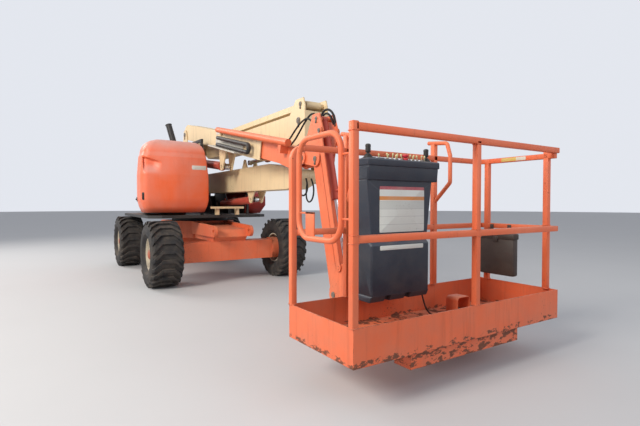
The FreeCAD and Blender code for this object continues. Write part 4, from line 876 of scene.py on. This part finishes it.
class BuildCovers(bpy.types.Operator):
    """Engine cover with its hand recess, tank cover, stand-ins under both, and the stack"""
    bl_idname = "lift.covers"
    bl_label = "Covers"

    def execute(self, context):
        self.engine_cover()
        self.tank_cover()
        self.engine()
        self.tank()
        self.stack()
        return {"FINISHED"}

    def engine_cover(self):
        """Drawn in at the foot, leaning in above the band, its inner edge rolled back."""
        levels = [(z, shrink, 0.0) for z, shrink in ENGINE_FOOT]
        levels += [(z, max(0.0, z - 1.45) * 0.095, 0.0) for z in np.arange(1.44, 1.705, 0.009)]
        levels += crown(1.932, 0.190, 0.045, 0.110, np.linspace(0, 90, 14))
        levels = [(z, shrink, roll + max(0.0, z - 1.40) * 0.09 + max(0.0, 1.06 - z) * 0.35)
                  for z, shrink, roll in levels]
        parts = cover(ENGINE_PLAN, levels, RECESS_DEPTH)
        hood = add_piece("engine_cover_shell", on_machine(parts), "engine_cover",
                         "hood")
        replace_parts(walled(hood, ENGINE_WALL), "engine_hood")

    def tank_cover(self):
        """The smaller cover, with a low crown."""
        levels = [(z, shrink, 0.0) for z, shrink in TANK_FOOT]
        levels += crown(1.250, 0.090, 0.0, 0.055, np.linspace(0, 90, 10))
        parts = cover(TANK_PLAN, levels)
        lid = add_piece("tank_cover_shell", on_machine(parts), "tank_cover", "red")
        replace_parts(walled(lid, TANK_WALL), "tank_hood")

    def engine(self):
        """A stand-in of two rounded blocks, nearly as high as the CAD's."""
        low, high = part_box("engine_block")
        block = [bar((-0.86, -0.70, low[2]), (0.42, -0.34, high[2] - 0.10), 0.012),
                 bar((-0.50, -0.64, high[2] - 0.11), (0.30, -0.42, high[2] - 0.02), 0.020)]
        made = add_piece("engine_stand_in", on_machine(block), "turntable",
                         "machinery")
        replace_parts(made, "engine_block")

    def tank(self):
        """A box with a filler neck and its cap."""
        neck = lathe(((0.045, 0), (0.045, 0.02), (0.036, 0.024), (0.036, 0.030), (0.042, 0.032),
                      (0.042, 0.042), (0.030, 0.046)), 24)
        tank = [bar((-0.70, 0.665, 0.900), (0.28, 0.900, 1.130), 0.018),
                placed(neck, (-0.42, 0.78, 1.128))]
        made = add_piece("fluid_tank_body", on_machine(tank), "turntable",
                         "machinery")
        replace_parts(made, "fluid_tank")

    def stack(self):
        """A leaning pipe with a rolled lip, in a boot on the cover."""
        foot, head, lean = (0.330, -0.500), (0.262, -0.548), (-0.068, -0.048, 0.240)
        lip = lathe(((0.046, 0), (0.048, 0.006), (0.046, 0.012), (0.037, 0.0125),
                     (0.033, 0.004)), 28)
        boot = lathe(((0.066, -0.05), (0.064, 0.004), (0.056, 0.014), (0.052, 0.030),
                      (0.044, 0.034)), 28)
        stack = [tube(((*foot, 1.84), (*foot, 1.985), (*head, 2.225)), 0.13,
                      circle(28) * 0.043, (0, 1, 0), 9),
                 placed(lip, (*head, 2.222), lean), placed(boot, (*foot, 1.925))]
        made = add_piece("leaning_stack", on_machine(stack), "engine_cover",
                         "black")
        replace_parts(made, "exhaust_stack")


# Half the rail tube's width, the bend of its corners, and the rails' places and heights
TUBE, BEND = 0.019, 0.080
FRONT, BACK, SIDE, NEAR, FOOT = 5.246, 4.632, 0.897, -0.902, 0.449
TOP, SIDE_TOP, GUARD_TOP, MIDDLE = 1.445, 1.409, 1.515, 0.890
POSTS = ((FRONT, NEAR), (FRONT, 0.030), (5.185, SIDE), (4.692, SIDE), (BACK, -0.490),
         (BACK, 0.330))
POST_TOPS = (TOP + 0.025, TOP, TOP, SIDE_TOP, GUARD_TOP, GUARD_TOP)
# The gate's front and rear edge, foot, head and the side that it hangs on
GATE_FRONT, GATE_REAR, GATE_FOOT, GATE_HEAD, GATE_SIDE = 5.147, 4.723, 0.868, 1.436, -0.905


class BuildRails(bpy.types.Operator):
    """Square tube rails with their bent back rail and guards, and the rounded swing gate"""
    bl_idname = "lift.rails"
    bl_label = "Rails and gate"

    def execute(self, context):
        self.rails()
        self.gate()
        return {"FINISHED"}

    def rails(self):
        """Back rail, posts, level rails with the gate's two hinge plates, and hand guards."""
        square = rounded(TUBE * 2, TUBE * 2, 0.005, 3)
        parts = self.back_rail(square)
        for (x, y), high in zip(POSTS, POST_TOPS):
            parts.append(bar((x - TUBE, y - TUBE, FOOT), (x + TUBE, y + TUBE, high), 0.004))
        level = (
            ((FRONT - TUBE, NEAR + 0.002, TOP - TUBE), (FRONT + TUBE, SIDE + 0.022, TOP + TUBE)),
            ((FRONT - TUBE + 0.001, NEAR, MIDDLE - TUBE),
             (FRONT + TUBE - 0.001, SIDE + 0.016, MIDDLE + TUBE)),
            ((BACK, SIDE - TUBE + 0.001, MIDDLE - TUBE),
             (FRONT, SIDE + TUBE - 0.001, MIDDLE + TUBE)),
            ((BACK - TUBE + 0.001, -SIDE, MIDDLE - TUBE),
             (BACK + TUBE - 0.001, SIDE, MIDDLE + TUBE)),
            ((GATE_FRONT, NEAR - 0.008, 0.982), (FRONT, NEAR + 0.008, 0.994)),
            ((GATE_FRONT, NEAR - 0.008, 1.310), (FRONT, NEAR + 0.008, 1.322)))
        parts += [bar(first, last, 0.004) for first, last in level]
        for y, reach in ((-0.490, 0.068), (0.330, 0.155)):
            out = BACK + reach
            parts.append(tube(((BACK - 0.055, y, 1.528), (out - 0.030, y, 1.510),
                               (out, y, 1.415), (out, y, 1.220), (BACK + 0.010, y, 1.080)),
                              0.028, circle(14) * 0.015, (0, 1, 0), 7))
        made = add_piece("square_rails", on_machine(parts), "platform", "orange")
        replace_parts(made, "platform_rails")

    def back_rail(self, square):
        """The side and back rail in one bent tube, then down as the corner post."""
        return [tube(((FRONT, SIDE, SIDE_TOP), (BACK, SIDE, SIDE_TOP),
                      (BACK, BEND - SIDE, SIDE_TOP)), BEND, square, (0, 0, 1), 9),
                tube(((BACK, BEND + 0.001 - SIDE, SIDE_TOP), (BACK, -SIDE, SIDE_TOP),
                      (BACK, -SIDE, FOOT)), BEND, square, (1, 0, 0), 9)]

    def gate(self):
        """A rounded loop with a plate and two straps in its lower rear corner."""
        middle, y = (GATE_REAR + GATE_FRONT) / 2, GATE_SIDE
        loop = [tube(((middle, y, GATE_FOOT), (GATE_FRONT, y, GATE_FOOT),
                      (GATE_FRONT, y, GATE_HEAD), (GATE_REAR, y, GATE_HEAD),
                      (GATE_REAR, y, GATE_FOOT), (middle, y, GATE_FOOT)), 0.105,
                     circle(14) * 0.0165, (0, 1, 0), 9)]
        for start, end, low, high, half, edge in ((0.078, 0.168, 0.008, 0.150, 0.004, 0.0015),
                                                  (-0.012, 0.168, 0.140, 0.150, 0.004, 0.0015),
                                                  (-0.007, 0.003, 0.018, 0.146, 0.005, 0.002)):
            loop.append(bar((GATE_REAR + start, y - half, GATE_FOOT + low),
                            (GATE_REAR + end, y + half, GATE_FOOT + high), edge))
        made = add_piece("gate_loop", on_machine(loop), "gate", "orange")
        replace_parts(made, "gate")


# The control box's front, back, middle, half width and top in the machine's plan
CONSOLE = {"front": 4.900, "back": 4.725, "y": -0.222, "half": 0.306, "top": 1.345}


class BuildConsole(bpy.types.Operator):
    """The control box, the foot switch with its guard, and the manual box"""
    bl_idname = "lift.console"
    bl_label = "Control box"

    def execute(self, context):
        self.control_box(**CONSOLE)
        self.foot_switch()
        self.manual_box()
        return {"FINISHED"}

    def control_box(self, front, back, y, half, top):
        """Lid, face under its lip, tapered neck, and the lower box with its skirt in three."""
        lip, lid, neck, foot = top - 0.046, top - 0.134, top - 0.490, top - 0.888
        wide = (y - half - 0.004, y + half + 0.006)
        parts = [
            prism(((back, lip - 0.004), (front + 0.006, lip), (front + 0.006, top - 0.008),
                   (front - 0.006, top), (back, top)), (0.006, 0.005, 0.004, 0.004, 0.006),
                  wide, "y", 0.007),
            prism(((back, lid), (front - 0.008, lid), (front, lip + 0.002), (back, lip + 0.002)),
                  (0.006,) * 4, (y - half, y + half), "y", 0.008),
            prism(((-0.485, neck), (-0.006, neck), (0.036, lid + 0.002), (-0.524, lid + 0.002)),
                  (0.018, 0.018, 0.004, 0.004), (back, front - 0.016), "x", 0.006),
            bar((back, -0.470, neck - 0.095), (front - 0.050, -0.040, neck + 0.004), 0.010)]
        out, mid = 0.248, -0.260
        parts.append(prism(((back, foot + 0.038), (front + 0.007, foot + 0.038),
                            (front + 0.008, neck - 0.045), (front - 0.026, neck - 0.014),
                            (back, neck - 0.014)), (0.002, 0.002, 0.014, 0.014, 0.008),
                           (mid - out, mid + out), "y", 0.010))
        skirt = ((back + 0.020, foot), (front - 0.012, foot), (front + 0.007, foot + 0.040),
                 (back, foot + 0.040), (back, foot + 0.020))
        for left, right in ((-out, -0.128), (-0.090, 0.042), (0.080, out)):
            parts.append(prism(skirt, (0.006, 0.010, 0.001, 0.001, 0.006),
                               (mid + left, mid + right), "y", 0.005))
        parts.append(bar((front - 0.08, mid - out + 0.03, foot + 0.004),
                         (front - 0.03, mid + out - 0.03, foot + 0.040), 0.002))
        made = add_piece("control_box", on_machine(parts), "platform",
                         "console")
        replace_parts(made, "control_console")

    def foot_switch(self):
        """A flat hoop over a ribbed pedal, on a plate on the platform floor."""
        low = land(["platform_floor"], parked(4.835, 0.37, 1.2), (0, 0, -1))[0][2] - 0.001
        x, y, wide, high = 4.835, 0.370, 0.065, 0.128
        flat = rounded(0.104, 0.006, 0.002, 3)
        hoop = [tube(((x, y - wide, low), (x, y - wide, low + high), (x, y + wide, low + high),
                      (x, y + wide, low)), 0.024, flat[:, ::-1], (1, 0, 0), 6),
                bar((x - 0.052, y - wide - 0.012, low), (x + 0.052, y + wide + 0.012,
                                                         low + 0.005), 0.002)]
        add_piece("foot_switch_guard", on_machine(hoop), "platform", "orange")
        pedal = [prism(((x - 0.040, low + 0.004), (x + 0.042, low + 0.004),
                        (x + 0.042, low + 0.018), (x - 0.040, low + 0.040)), (0.004,) * 4,
                       (y - 0.040, y + 0.040), "y", 0.003)]
        pedal += [bar((x - 0.030 + step * 0.012, y - 0.036, low + 0.030 - step * 0.0036),
                      (x - 0.025 + step * 0.012, y + 0.036, low + 0.040 - step * 0.0036), 0.001)
                  for step in range(6)]
        add_piece("foot_pedal", on_machine(pedal), "platform", "plastic")

    def manual_box(self):
        """A box with a lid, a catch and two straps that hang it on the side rail."""
        left, right, inner = 4.676, 4.979, 0.878
        middle = (left + right) / 2
        box = [bar((left, inner - 0.062, 0.510), (right, inner, 0.806), 0.012),
                bar((left - 0.006, inner - 0.068, 0.790), (right + 0.006, inner + 0.002, 0.836),
                    0.008)]
        box += [bar((start, inner - 0.008, 0.826), (end, inner - 0.001, 0.902), 0.002)
                 for start, end in ((left + 0.060, left + 0.090),
                                    (right - 0.090, right - 0.060))]
        box.append(bar((middle - 0.020, inner - 0.074, 0.770),
                        (middle + 0.020, inner - 0.064, 0.812), 0.003))
        add_piece("manual_box", on_machine(box), "platform", "box")


# Blank signs and labels

def sign_material(name, bands, low, high, edge_colour, axis="Z"):
    """A blank sign: flat bands of colour across its height, yellowed and dusty."""
    made, tree, shader = new_material(name)
    place = put(tree, "ShaderNodeSeparateXYZ", {0: own_place(tree)}).outputs[axis]
    share = put(tree, "ShaderNodeMapRange", {"Value": place, "From Min": low,
                                             "From Max": high}).outputs["Result"]
    colour = solid_colour(bands[0][1])
    for start, paint in bands[1:]:
        colour = blend_colour(tree, calc(tree, "GREATER_THAN", share, start), colour,
                              solid_colour(paint))
    old = effect(tree, "Fading", {"Scale": 9.0, "Upward": 0.0})
    colour = blend_colour(tree, calc(tree, "MULTIPLY", old, 0.5), colour,
                          solid_colour(edge_colour))
    colour = blend_colour(tree, effect(tree, "Chips", {"Scale": 90.0, "Amount": 0.7}), colour,
                          (0.20, 0.17, 0.14, 1.0))
    wire(tree, shader, colour,
         calc(tree, "ADD", calc(tree, "MULTIPLY", old, 0.3), 0.35, True))
    rounded_normal(tree, shader, effect(tree, "Grain", {"Scale": 140.0}, "Height"), 0.2, 0.0006,
                   0.0015)
    return made


class BuildSigns(bpy.types.Operator):
    """Blank signs: the control box's label and strip, the hood's, rail's and boom's stickers"""
    bl_idname = "lift.signs"
    bl_label = "Blank signs"

    def execute(self, context):
        white, red, amber = (0.66, 0.70, 0.66), (0.36, 0.03, 0.05), (0.62, 0.22, 0.03)
        grey = (0.56, 0.60, 0.57)
        line = (0.40, 0.43, 0.42)
        bands = [(0.0, white), (0.16, line), (0.168, white), (0.335, line), (0.343, white),
                 (0.50, line), (0.508, grey), (0.665, line), (0.673, white), (0.70, amber),
                 (0.785, white), (0.93, red)]
        spot, out = land(["control_box"], parked(5.2, -0.232, 1.03), (-1, 0, 0))
        self.label("control_label", 0.385, 0.288, spot, out, "platform", "console_plastic",
                   sign_material("Control label", bands, 0.888, 1.174, (0.50, 0.49, 0.42)))
        spot, out = land(["control_box"], parked(5.2, -0.255, 0.792), (-1, 0, 0))
        self.label("control_strip", 0.370, 0.028, spot, out, "platform", "console_plastic",
                   sign_material("Control strip", [(0.0, white), (0.92, grey)], 0.78, 0.82,
                                 (0.55, 0.53, 0.45)))
        spot, out = land(["engine_cover_shell"], parked(1.6, -0.30, 1.56), (-1, 0, 0))
        self.label("hood_sticker", 0.205, 0.058, spot, out, "engine_cover", "hood_orange",
                   sign_material("Hood sticker", [(0.0, (0.62, 0.62, 0.58)),
                                                  (0.5, (0.66, 0.66, 0.62))], 1.53, 1.59,
                                 (0.50, 0.44, 0.36)))
        spot, out = land(["square_rails"], parked(4.93, 0.5, 1.409), (0, 1, 0))
        self.label("rail_sticker", 0.205, 0.027, spot, out, "platform", "orange_paint",
                   sign_material("Rail sticker", [(0.0, (0.62, 0.44, 0.10)),
                                                  (0.62, (0.62, 0.60, 0.52))],
                                 spot[0] - 0.1, spot[0] + 0.1, (0.45, 0.32, 0.2), "X"))
        spot, out = land(["main_boom"], parked(1.15, -1.5, 2.05), (0, 1, 0))
        self.label("boom_sticker", 0.12, 0.085, spot, out, "main_boom", "cream_paint",
                   sign_material("Boom sticker", [(0.0, (0.60, 0.60, 0.56)),
                                                  (0.6, (0.60, 0.40, 0.06))], 2.01, 2.09,
                                 (0.50, 0.46, 0.36)))
        return {"FINISHED"}

    def label(self, name, width, height, spot, out, body, slot, material):
        """A thin sheet with rounded corners laid on the face at the spot."""
        FINISH[name] = material
        sheet = plate(width, height, 0.0014, 0.006, 0.0005)
        add_piece(name, [placed(sheet, spot, out)], body, name)


class BuildControls(bpy.types.Operator):
    """Switches, stop button, joystick boots and grips on the control box"""
    bl_idname = "lift.controls"
    bl_label = "Controls"

    def execute(self, context):
        middle, front, deck = -0.270, parked(CONSOLE["front"], 0, 0)[0], CONSOLE["top"]
        collar = lathe(((0.0105, 0), (0.0105, 0.004), (0.0085, 0.0065), (0.0065, 0.0085)), 12)
        lever = lathe(((0.0032, 0), (0.0030, 0.012), (0.0042, 0.019), (0.0058, 0.027),
                       (0.0056, 0.032), (0.0030, 0.035)), 10)
        levers, collars = [], []
        rows = [(0.035, y) for y in (-0.075, -0.035, 0.005, 0.045)]
        rows += [(0.035, y) for y in (0.115, 0.150, 0.185, 0.220, 0.250)]
        rows += [(0.085, y) for y in (-0.10, -0.03, 0.04, 0.12, 0.19)]
        for index, (back, y) in enumerate(rows):
            lean = ((-0.18, 0.0, 1.0), (0.22, 0.05, 1.0), (0.0, 0.12, 1.0))[index % 3]
            spot = (front - back, middle + y, deck)
            collars.append(placed(collar, spot))
            levers.append(placed(lever, (spot[0], spot[1], deck + 0.006), lean))
        add_piece("switch_collars", collars, "platform", "steel")
        add_piece("switch_levers", levers, "platform", "switch")
        stop = [placed(lathe(((0.019, 0), (0.019, 0.010), (0.016, 0.013), (0.010, 0.014),
                              (0.010, 0.022), (0.019, 0.023), (0.0215, 0.028),
                              (0.0205, 0.034), (0.015, 0.038), (0.006, 0.040)), 24),
                       (front - 0.037, middle + 0.080, deck))]
        add_piece("stop_button", stop, "platform", "stop")
        panel = [placed(plate(0.19, 0.075, 0.004, 0.008, 0.0015),
                        (front - 0.06, middle - 0.148, deck), (0, 0, 1), (-1, 0, 0))]
        panel += [placed(plate(0.052, 0.030, 0.007, 0.004, 0.0015),
                         (front - 0.06, middle - 0.155 + shift, deck + 0.003), (0, 0, 1),
                         (-1, 0, 0)) for shift in (-0.03, 0.04)]
        add_piece("lid_panels", panel, "platform", "plastic")
        boots, grips = [], []
        pleats = [(0.034, 0.0), (0.035, 0.004)]
        for fold in range(4):
            wide = 0.033 - fold * 0.0045
            pleats += [(wide, 0.006 + fold * 0.006), (wide - 0.006, 0.009 + fold * 0.006)]
        pleats += [(0.0105, 0.032), (0.0100, 0.036)]
        grip = ((0.0155, 0.0), (0.0172, 0.004), (0.0160, 0.012), (0.0172, 0.020), (0.0160, 0.028),
                (0.0176, 0.038), (0.0172, 0.046), (0.0130, 0.051), (0.0060, 0.053))
        for y in (-0.216, 0.288):
            spot = (front - 0.055, middle + y, deck)
            boots.append(placed(lathe(pleats, 22), spot))
            grips.append(placed(lathe(grip, 20), (spot[0], spot[1], deck + 0.038)))
        add_piece("stick_boots", boots, "platform", "plastic")
        add_piece("stick_grips", grips, "platform", "plastic")
        return {"FINISHED"}


# Radius of each pivot's pin
PIVOTS = {
    "tower_lift": 0.036, "front_upright_level": 0.036, "mid_boom_lift": 0.036,
    "rear_upright_level": 0.036, "upper_link_lift": 0.026, "tower_ram_foot": 0.028,
    "upper_ram_foot": 0.024, "main_lift": 0.038, "lift_ram_foot": 0.026,
    "level_bracket_pin": 0.028, "jib_lift": 0.026, "jib_link_lift": 0.020,
    "jib_ram_foot": 0.020, "platform_level": 0.026,
}


class BuildPins(bpy.types.Operator):
    """Pin heads with a locking plate and bolt at both ends of every boom pivot"""
    bl_idname = "lift.pins"
    bl_label = "Pivot pins"

    def execute(self, context):
        bodies = frame["record"]["behaviour"]["bodies"]
        heads = {}
        for name, joint in JOINTS.items():
            if name not in PIVOTS:
                continue
            size = PIVOTS[name]
            x, y, z = joint["pos_m"]
            for side in (-1.0, 1.0):
                found = []
                for body in (joint["parent"], joint["child"]):
                    nodes = [node for node in bodies[body] if node in frame["nodes"]]
                    try:
                        spot, out = land(nodes, (x, y + side * 1.2, z), (0, -side, 0))
                    except RuntimeError:
                        continue  # this body has no face on that side
                    if abs(out[1]) > 0.9 and (spot[1] - y) * side > 0:
                        found.append((spot[1] * side, body, spot))
                if found:
                    _, body, spot = max(found, key=lambda one: one[0])
                    heads.setdefault(body, []).extend(self.head(spot, side, size))
        for body, parts in heads.items():
            add_piece("pins_" + body, parts, body, "steel")
        return {"FINISHED"}

    def head(self, spot, side, size):
        """A dished head, its locking tab and the tab's bolt."""
        axis = (0.0, side, 0.0)
        tab = plate(size * 0.9, size * 1.9, 0.005, 0.006, 0.0012)
        low = np.array(spot) + (0.0, 0.0, -size * 1.15)
        head = lathe([(r * size, z * size) for r, z in PIN_HEAD], 22)
        return [placed(head, spot, axis), placed(tab, low, axis)] + bolts(
            [low + (0.0, side * 0.005, -size * 0.45)], axis, 0.8)


WHEEL_NUTS, NUT_CIRCLE, AXLE_HIGH = 9, 0.105, 0.42


class BuildWheelNuts(bpy.types.Operator):
    """Nine wheel nuts and a hub cap on each wheel disc"""
    bl_idname = "lift.wheel_nuts"
    bl_label = "Wheel nuts"

    def execute(self, context):
        turn = np.arange(WHEEL_NUTS) / WHEEL_NUTS * 2 * np.pi
        cap = lathe(((0.062, 0), (0.062, 0.012), (0.057, 0.018), (0.040, 0.021),
                     (0.037, 0.026), (0.020, 0.028)), 28)
        for place, y in (("front_left", 1), ("front_right", -1), ("rear_left", 1),
                         ("rear_right", -1)):
            disc = "rim_" + place
            x = JOINTS["roll_" + place]["pos_m"][0]
            spots = [land([disc], (x + NUT_CIRCLE * math.cos(angle), y * 1.4,
                                   AXLE_HIGH + NUT_CIRCLE * math.sin(angle)), (0, -y, 0))[0]
                     for angle in turn]
            hub = land([disc], (x, y * 1.4, AXLE_HIGH), (0, -y, 0))[0]
            parts = bolts(spots, (0, y, 0), 1.15) + [placed(cap, hub, (0, y, 0))]
            add_piece("nuts_" + place, parts, "wheel_" + place, "hub")
        return {"FINISHED"}


class BuildWelds(bpy.types.Operator):
    """Weld beads round the platform's posts: at their feet, under the top rail, and above
    and under the middle rail"""
    bl_idname = "lift.welds"
    bl_label = "Welds"

    def execute(self, context):
        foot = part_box("platform_floor")[1][2]
        parts = [placed(bead(0.040, 0.040, 0.0032, 1.9, index), parked(x, y, foot + 0.0015))
                 for index, (x, y) in enumerate(POSTS + ((BACK, -SIDE),))]
        collars = [(*post, 1.424) for post in POSTS[:2]]
        collars += [(*post, high) for high in (0.869, 0.911) for post in POSTS[:3]]
        parts += [placed(bead(0.040, 0.040, 0.0026, 2.3, index), parked(*spot))
                  for index, spot in enumerate(collars)]
        add_piece("post_welds", parts, "platform", "orange")
        return {"FINISHED"}


def ram_end(node, foot, along):
    """The far end of a ram's barrel: how far along it ends, its radius there, its direction."""
    mesh = frame["nodes"][node].data
    points = np.empty(len(mesh.vertices) * 3, dtype=np.float32)
    mesh.vertices.foreach_get("co", points)
    points = points.reshape(-1, 3) - np.array(foot)
    along = np.array(along) / np.linalg.norm(along)
    far = points @ along
    end = far.max()
    aside = points - far[:, None] * along
    rim = np.linalg.norm(aside, axis=1)[far > end - 0.004].max()
    return end, float(rim), along


class BuildGlands(bpy.types.Operator):
    """Gland nuts at the ends of the ram barrels, with their hose ports"""
    bl_idname = "lift.glands"
    bl_label = "Gland nuts"

    def execute(self, context):
        port = ((0.013, 0), (0.013, 0.012), (0.011, 0.014), (0.009, 0.015), (0.009, 0.026),
                (0.0065, 0.028))
        for ram in ("tower_ram", "upper_ram", "lift_ram", "jib_ram"):
            foot = JOINTS[ram + "_foot"]["pos_m"]
            end, rim, along = ram_end(ram + "_barrel", foot, JOINTS[ram + "_stroke"]["axis"])
            nut = lathe(((rim - 0.001, -0.030), (rim + 0.0035, -0.029), (rim + 0.0040, -0.004),
                         (rim + 0.0015, 0.0015), (rim - 0.006, 0.0025)), 32)
            up = np.cross(along, (0, 1, 0))
            up *= -1 if up[2] < 0 else 1
            parts = [placed(nut, np.array(foot) + along * end, along)]
            parts += [placed(lathe(port, 12), np.array(foot) + along * where + up * (rim - 0.004),
                             up) for where in (0.13, end - 0.07)]
            add_piece(ram + "_gland", parts, ram + "_barrel", "ram")
        return {"FINISHED"}


# A latch's plate and the bar on it: width, height, thickness, corner, bevel and dome
FRONT_LATCH = ((0.030, 0.100, 0.006, 0.012, 0.002), (0.014, 0.060, 0.012, 0.006, 0.002, 0.002))
SIDE_LATCH = ((0.110, 0.060, 0.006, 0.014, 0.002), (0.080, 0.024, 0.014, 0.008, 0.003, 0.003))


class BuildCoverFittings(bpy.types.Operator):
    """Latches on the engine cover and the tank cover"""
    bl_idname = "lift.cover_fittings"
    bl_label = "Cover fittings"

    def execute(self, context):
        latches = self.latch("engine_cover_shell", (1.5, -1.035, 1.16), (-1, 0, 0), FRONT_LATCH)
        for x in (-0.85, 0.55):
            latches += self.latch("engine_cover_shell", (x, -1.6, 1.12), (0, 1, 0), SIDE_LATCH)
        add_piece("hood_latches", latches, "engine_cover", "plastic")
        latches = []
        for x in (-0.75, 0.05):
            latches += self.latch("tank_cover_shell", (x, 1.6, 1.06), (0, -1, 0), SIDE_LATCH)
        add_piece("tank_latches", latches, "tank_cover", "plastic")
        return {"FINISHED"}

    def latch(self, cover_name, start, towards, plates):
        """A plate where the line meets the cover, and the bar on it."""
        spot, out = land([cover_name], parked(*start), towards)
        return [placed(plate(*plates[0]), spot, out),
                placed(plate(*plates[1]), spot + out * 0.003, out)]


# Hoses

def hose(name, points, diameter, body, material):
    """A hose: one smooth curve through its route, round in section."""
    curve = bpy.data.curves.new(name, "CURVE")
    curve.dimensions = "3D"
    spline = curve.splines.new("NURBS")
    spline.points.add(len(points) - 1)
    spline.points.foreach_set("co", np.column_stack([points, np.ones(len(points))]).ravel())
    spline.order_u = 3
    spline.use_endpoint_u = True
    spline.resolution_u = 8
    curve.bevel_depth = diameter / 2
    curve.bevel_resolution = 3
    curve.use_fill_caps = True
    curve.materials.append(material)
    thing = bpy.data.objects.new(name, curve)
    bpy.context.scene.collection.objects.link(thing)
    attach(thing, body)
    return thing


# A smooth curve is a little shorter than the line through its control points
# Name, body, diameter and route in the machine's plan
HOSES = (
    ("boom_hose_one", "fly_boom", 0.018, (
        (2.96, -0.045, 1.665), (3.06, -0.049, 1.715), (3.18, -0.058, 1.780),
        (3.30, -0.070, 1.835), (3.42, -0.080, 1.860), (3.485, -0.082, 1.852),
        (3.528, -0.081, 1.826))),
    ("boom_hose_two", "fly_boom", 0.018, (
        (2.99, -0.005, 1.658), (3.10, -0.012, 1.700), (3.22, -0.028, 1.765),
        (3.34, -0.048, 1.828), (3.46, -0.066, 1.878), (3.53, -0.075, 1.892),
        (3.572, -0.078, 1.880))),
    ("boom_hose_three", "fly_boom", 0.014, (
        (3.03, 0.045, 1.648), (3.14, 0.048, 1.680), (3.24, 0.054, 1.728),
        (3.33, 0.062, 1.762), (3.41, 0.072, 1.775), (3.48, 0.076, 1.756))),
    ("bracket_arc_one", "level_bracket", 0.022, (
        (3.474, 0.078, 1.722), (3.440, 0.076, 1.800), (3.455, 0.070, 1.890),
        (3.53, 0.064, 1.945), (3.63, 0.064, 1.925), (3.69, 0.068, 1.850),
        (3.69, 0.076, 1.765))),
    ("bracket_arc_two", "level_bracket", 0.020, (
        (3.505, 0.076, 1.775), (3.490, 0.062, 1.840), (3.525, 0.052, 1.895),
        (3.60, 0.048, 1.900), (3.652, 0.056, 1.855), (3.665, 0.074, 1.785))),
    ("upright_hose_one", "lower_boom", 0.018, (
        (2.729, 0.260, 1.288), (2.735, 0.255, 1.225), (2.775, 0.250, 1.165),
        (2.845, 0.248, 1.145), (2.905, 0.252, 1.190), (2.912, 0.258, 1.265),
        (2.868, 0.262, 1.338))),
    ("upright_hose_two", "lower_boom", 0.018, (
        (2.778, 0.330, 1.300), (2.768, 0.325, 1.215), (2.785, 0.315, 1.120),
        (2.860, 0.305, 1.072), (2.940, 0.300, 1.110), (2.960, 0.305, 1.190),
        (2.930, 0.318, 1.270), (2.866, 0.330, 1.336))),
    ("pedal_cable", "platform", 0.011, (
        (4.800, -0.012, 0.520), (4.800, 0.016, 0.500), (4.800, 0.040, 0.420),
        (4.802, 0.075, 0.325), (4.806, 0.130, 0.280), (4.815, 0.200, 0.274),
        (4.825, 0.260, 0.274), (4.830, 0.302, 0.276))),
)


class BuildHoses(bpy.types.Operator):
    """Hydraulic hoses at the boom's end and the front upright, and the pedal's cable"""
    bl_idname = "lift.hoses"
    bl_label = "Hoses"

    def execute(self, context):
        for name, body, diameter, route in HOSES:
            points = np.array([parked(*point) for point in route])
            hose(name, points, diameter, body, FINISH["hose"])
        return {"FINISHED"}


class LiftPanel(bpy.types.Panel):
    """Sizes, colours and builders of the boom lift"""
    bl_idname = "LIFT_PT_looks"
    bl_label = "Boom lift"
    bl_space_type = "VIEW_3D"
    bl_region_type = "UI"
    bl_category = "Boom lift"

    def draw(self, context):
        for group in (context.scene.lift_colours, context.scene.lift_sizes):
            for name in group.__annotations__:
                self.layout.prop(group, name)
        for builder in BUILDERS:
            self.layout.operator(builder.bl_idname)


BUILDERS = (BuildStage, BuildFinishes, BuildCovers, BuildRails, BuildConsole, BuildHoses,
            BuildSigns, BuildControls, BuildPins, BuildWheelNuts, BuildWelds, BuildGlands,
            BuildCoverFittings)
CLASSES = (LiftColours, LiftSizes) + BUILDERS + (LiftPanel,)


def register():
    for made in CLASSES:
        bpy.utils.register_class(made)
    bpy.types.Scene.lift_colours = PointerProperty(type=LiftColours)
    bpy.types.Scene.lift_sizes = PointerProperty(type=LiftSizes)


def unregister():
    del bpy.types.Scene.lift_sizes
    del bpy.types.Scene.lift_colours
    for made in reversed(CLASSES):
        bpy.utils.unregister_class(made)


def main():
    register()
    for builder in BUILDERS:
        call = bpy.ops
        for step in builder.bl_idname.split("."):
            call = getattr(call, step)
        call()


if __name__ == "__main__":
    main()
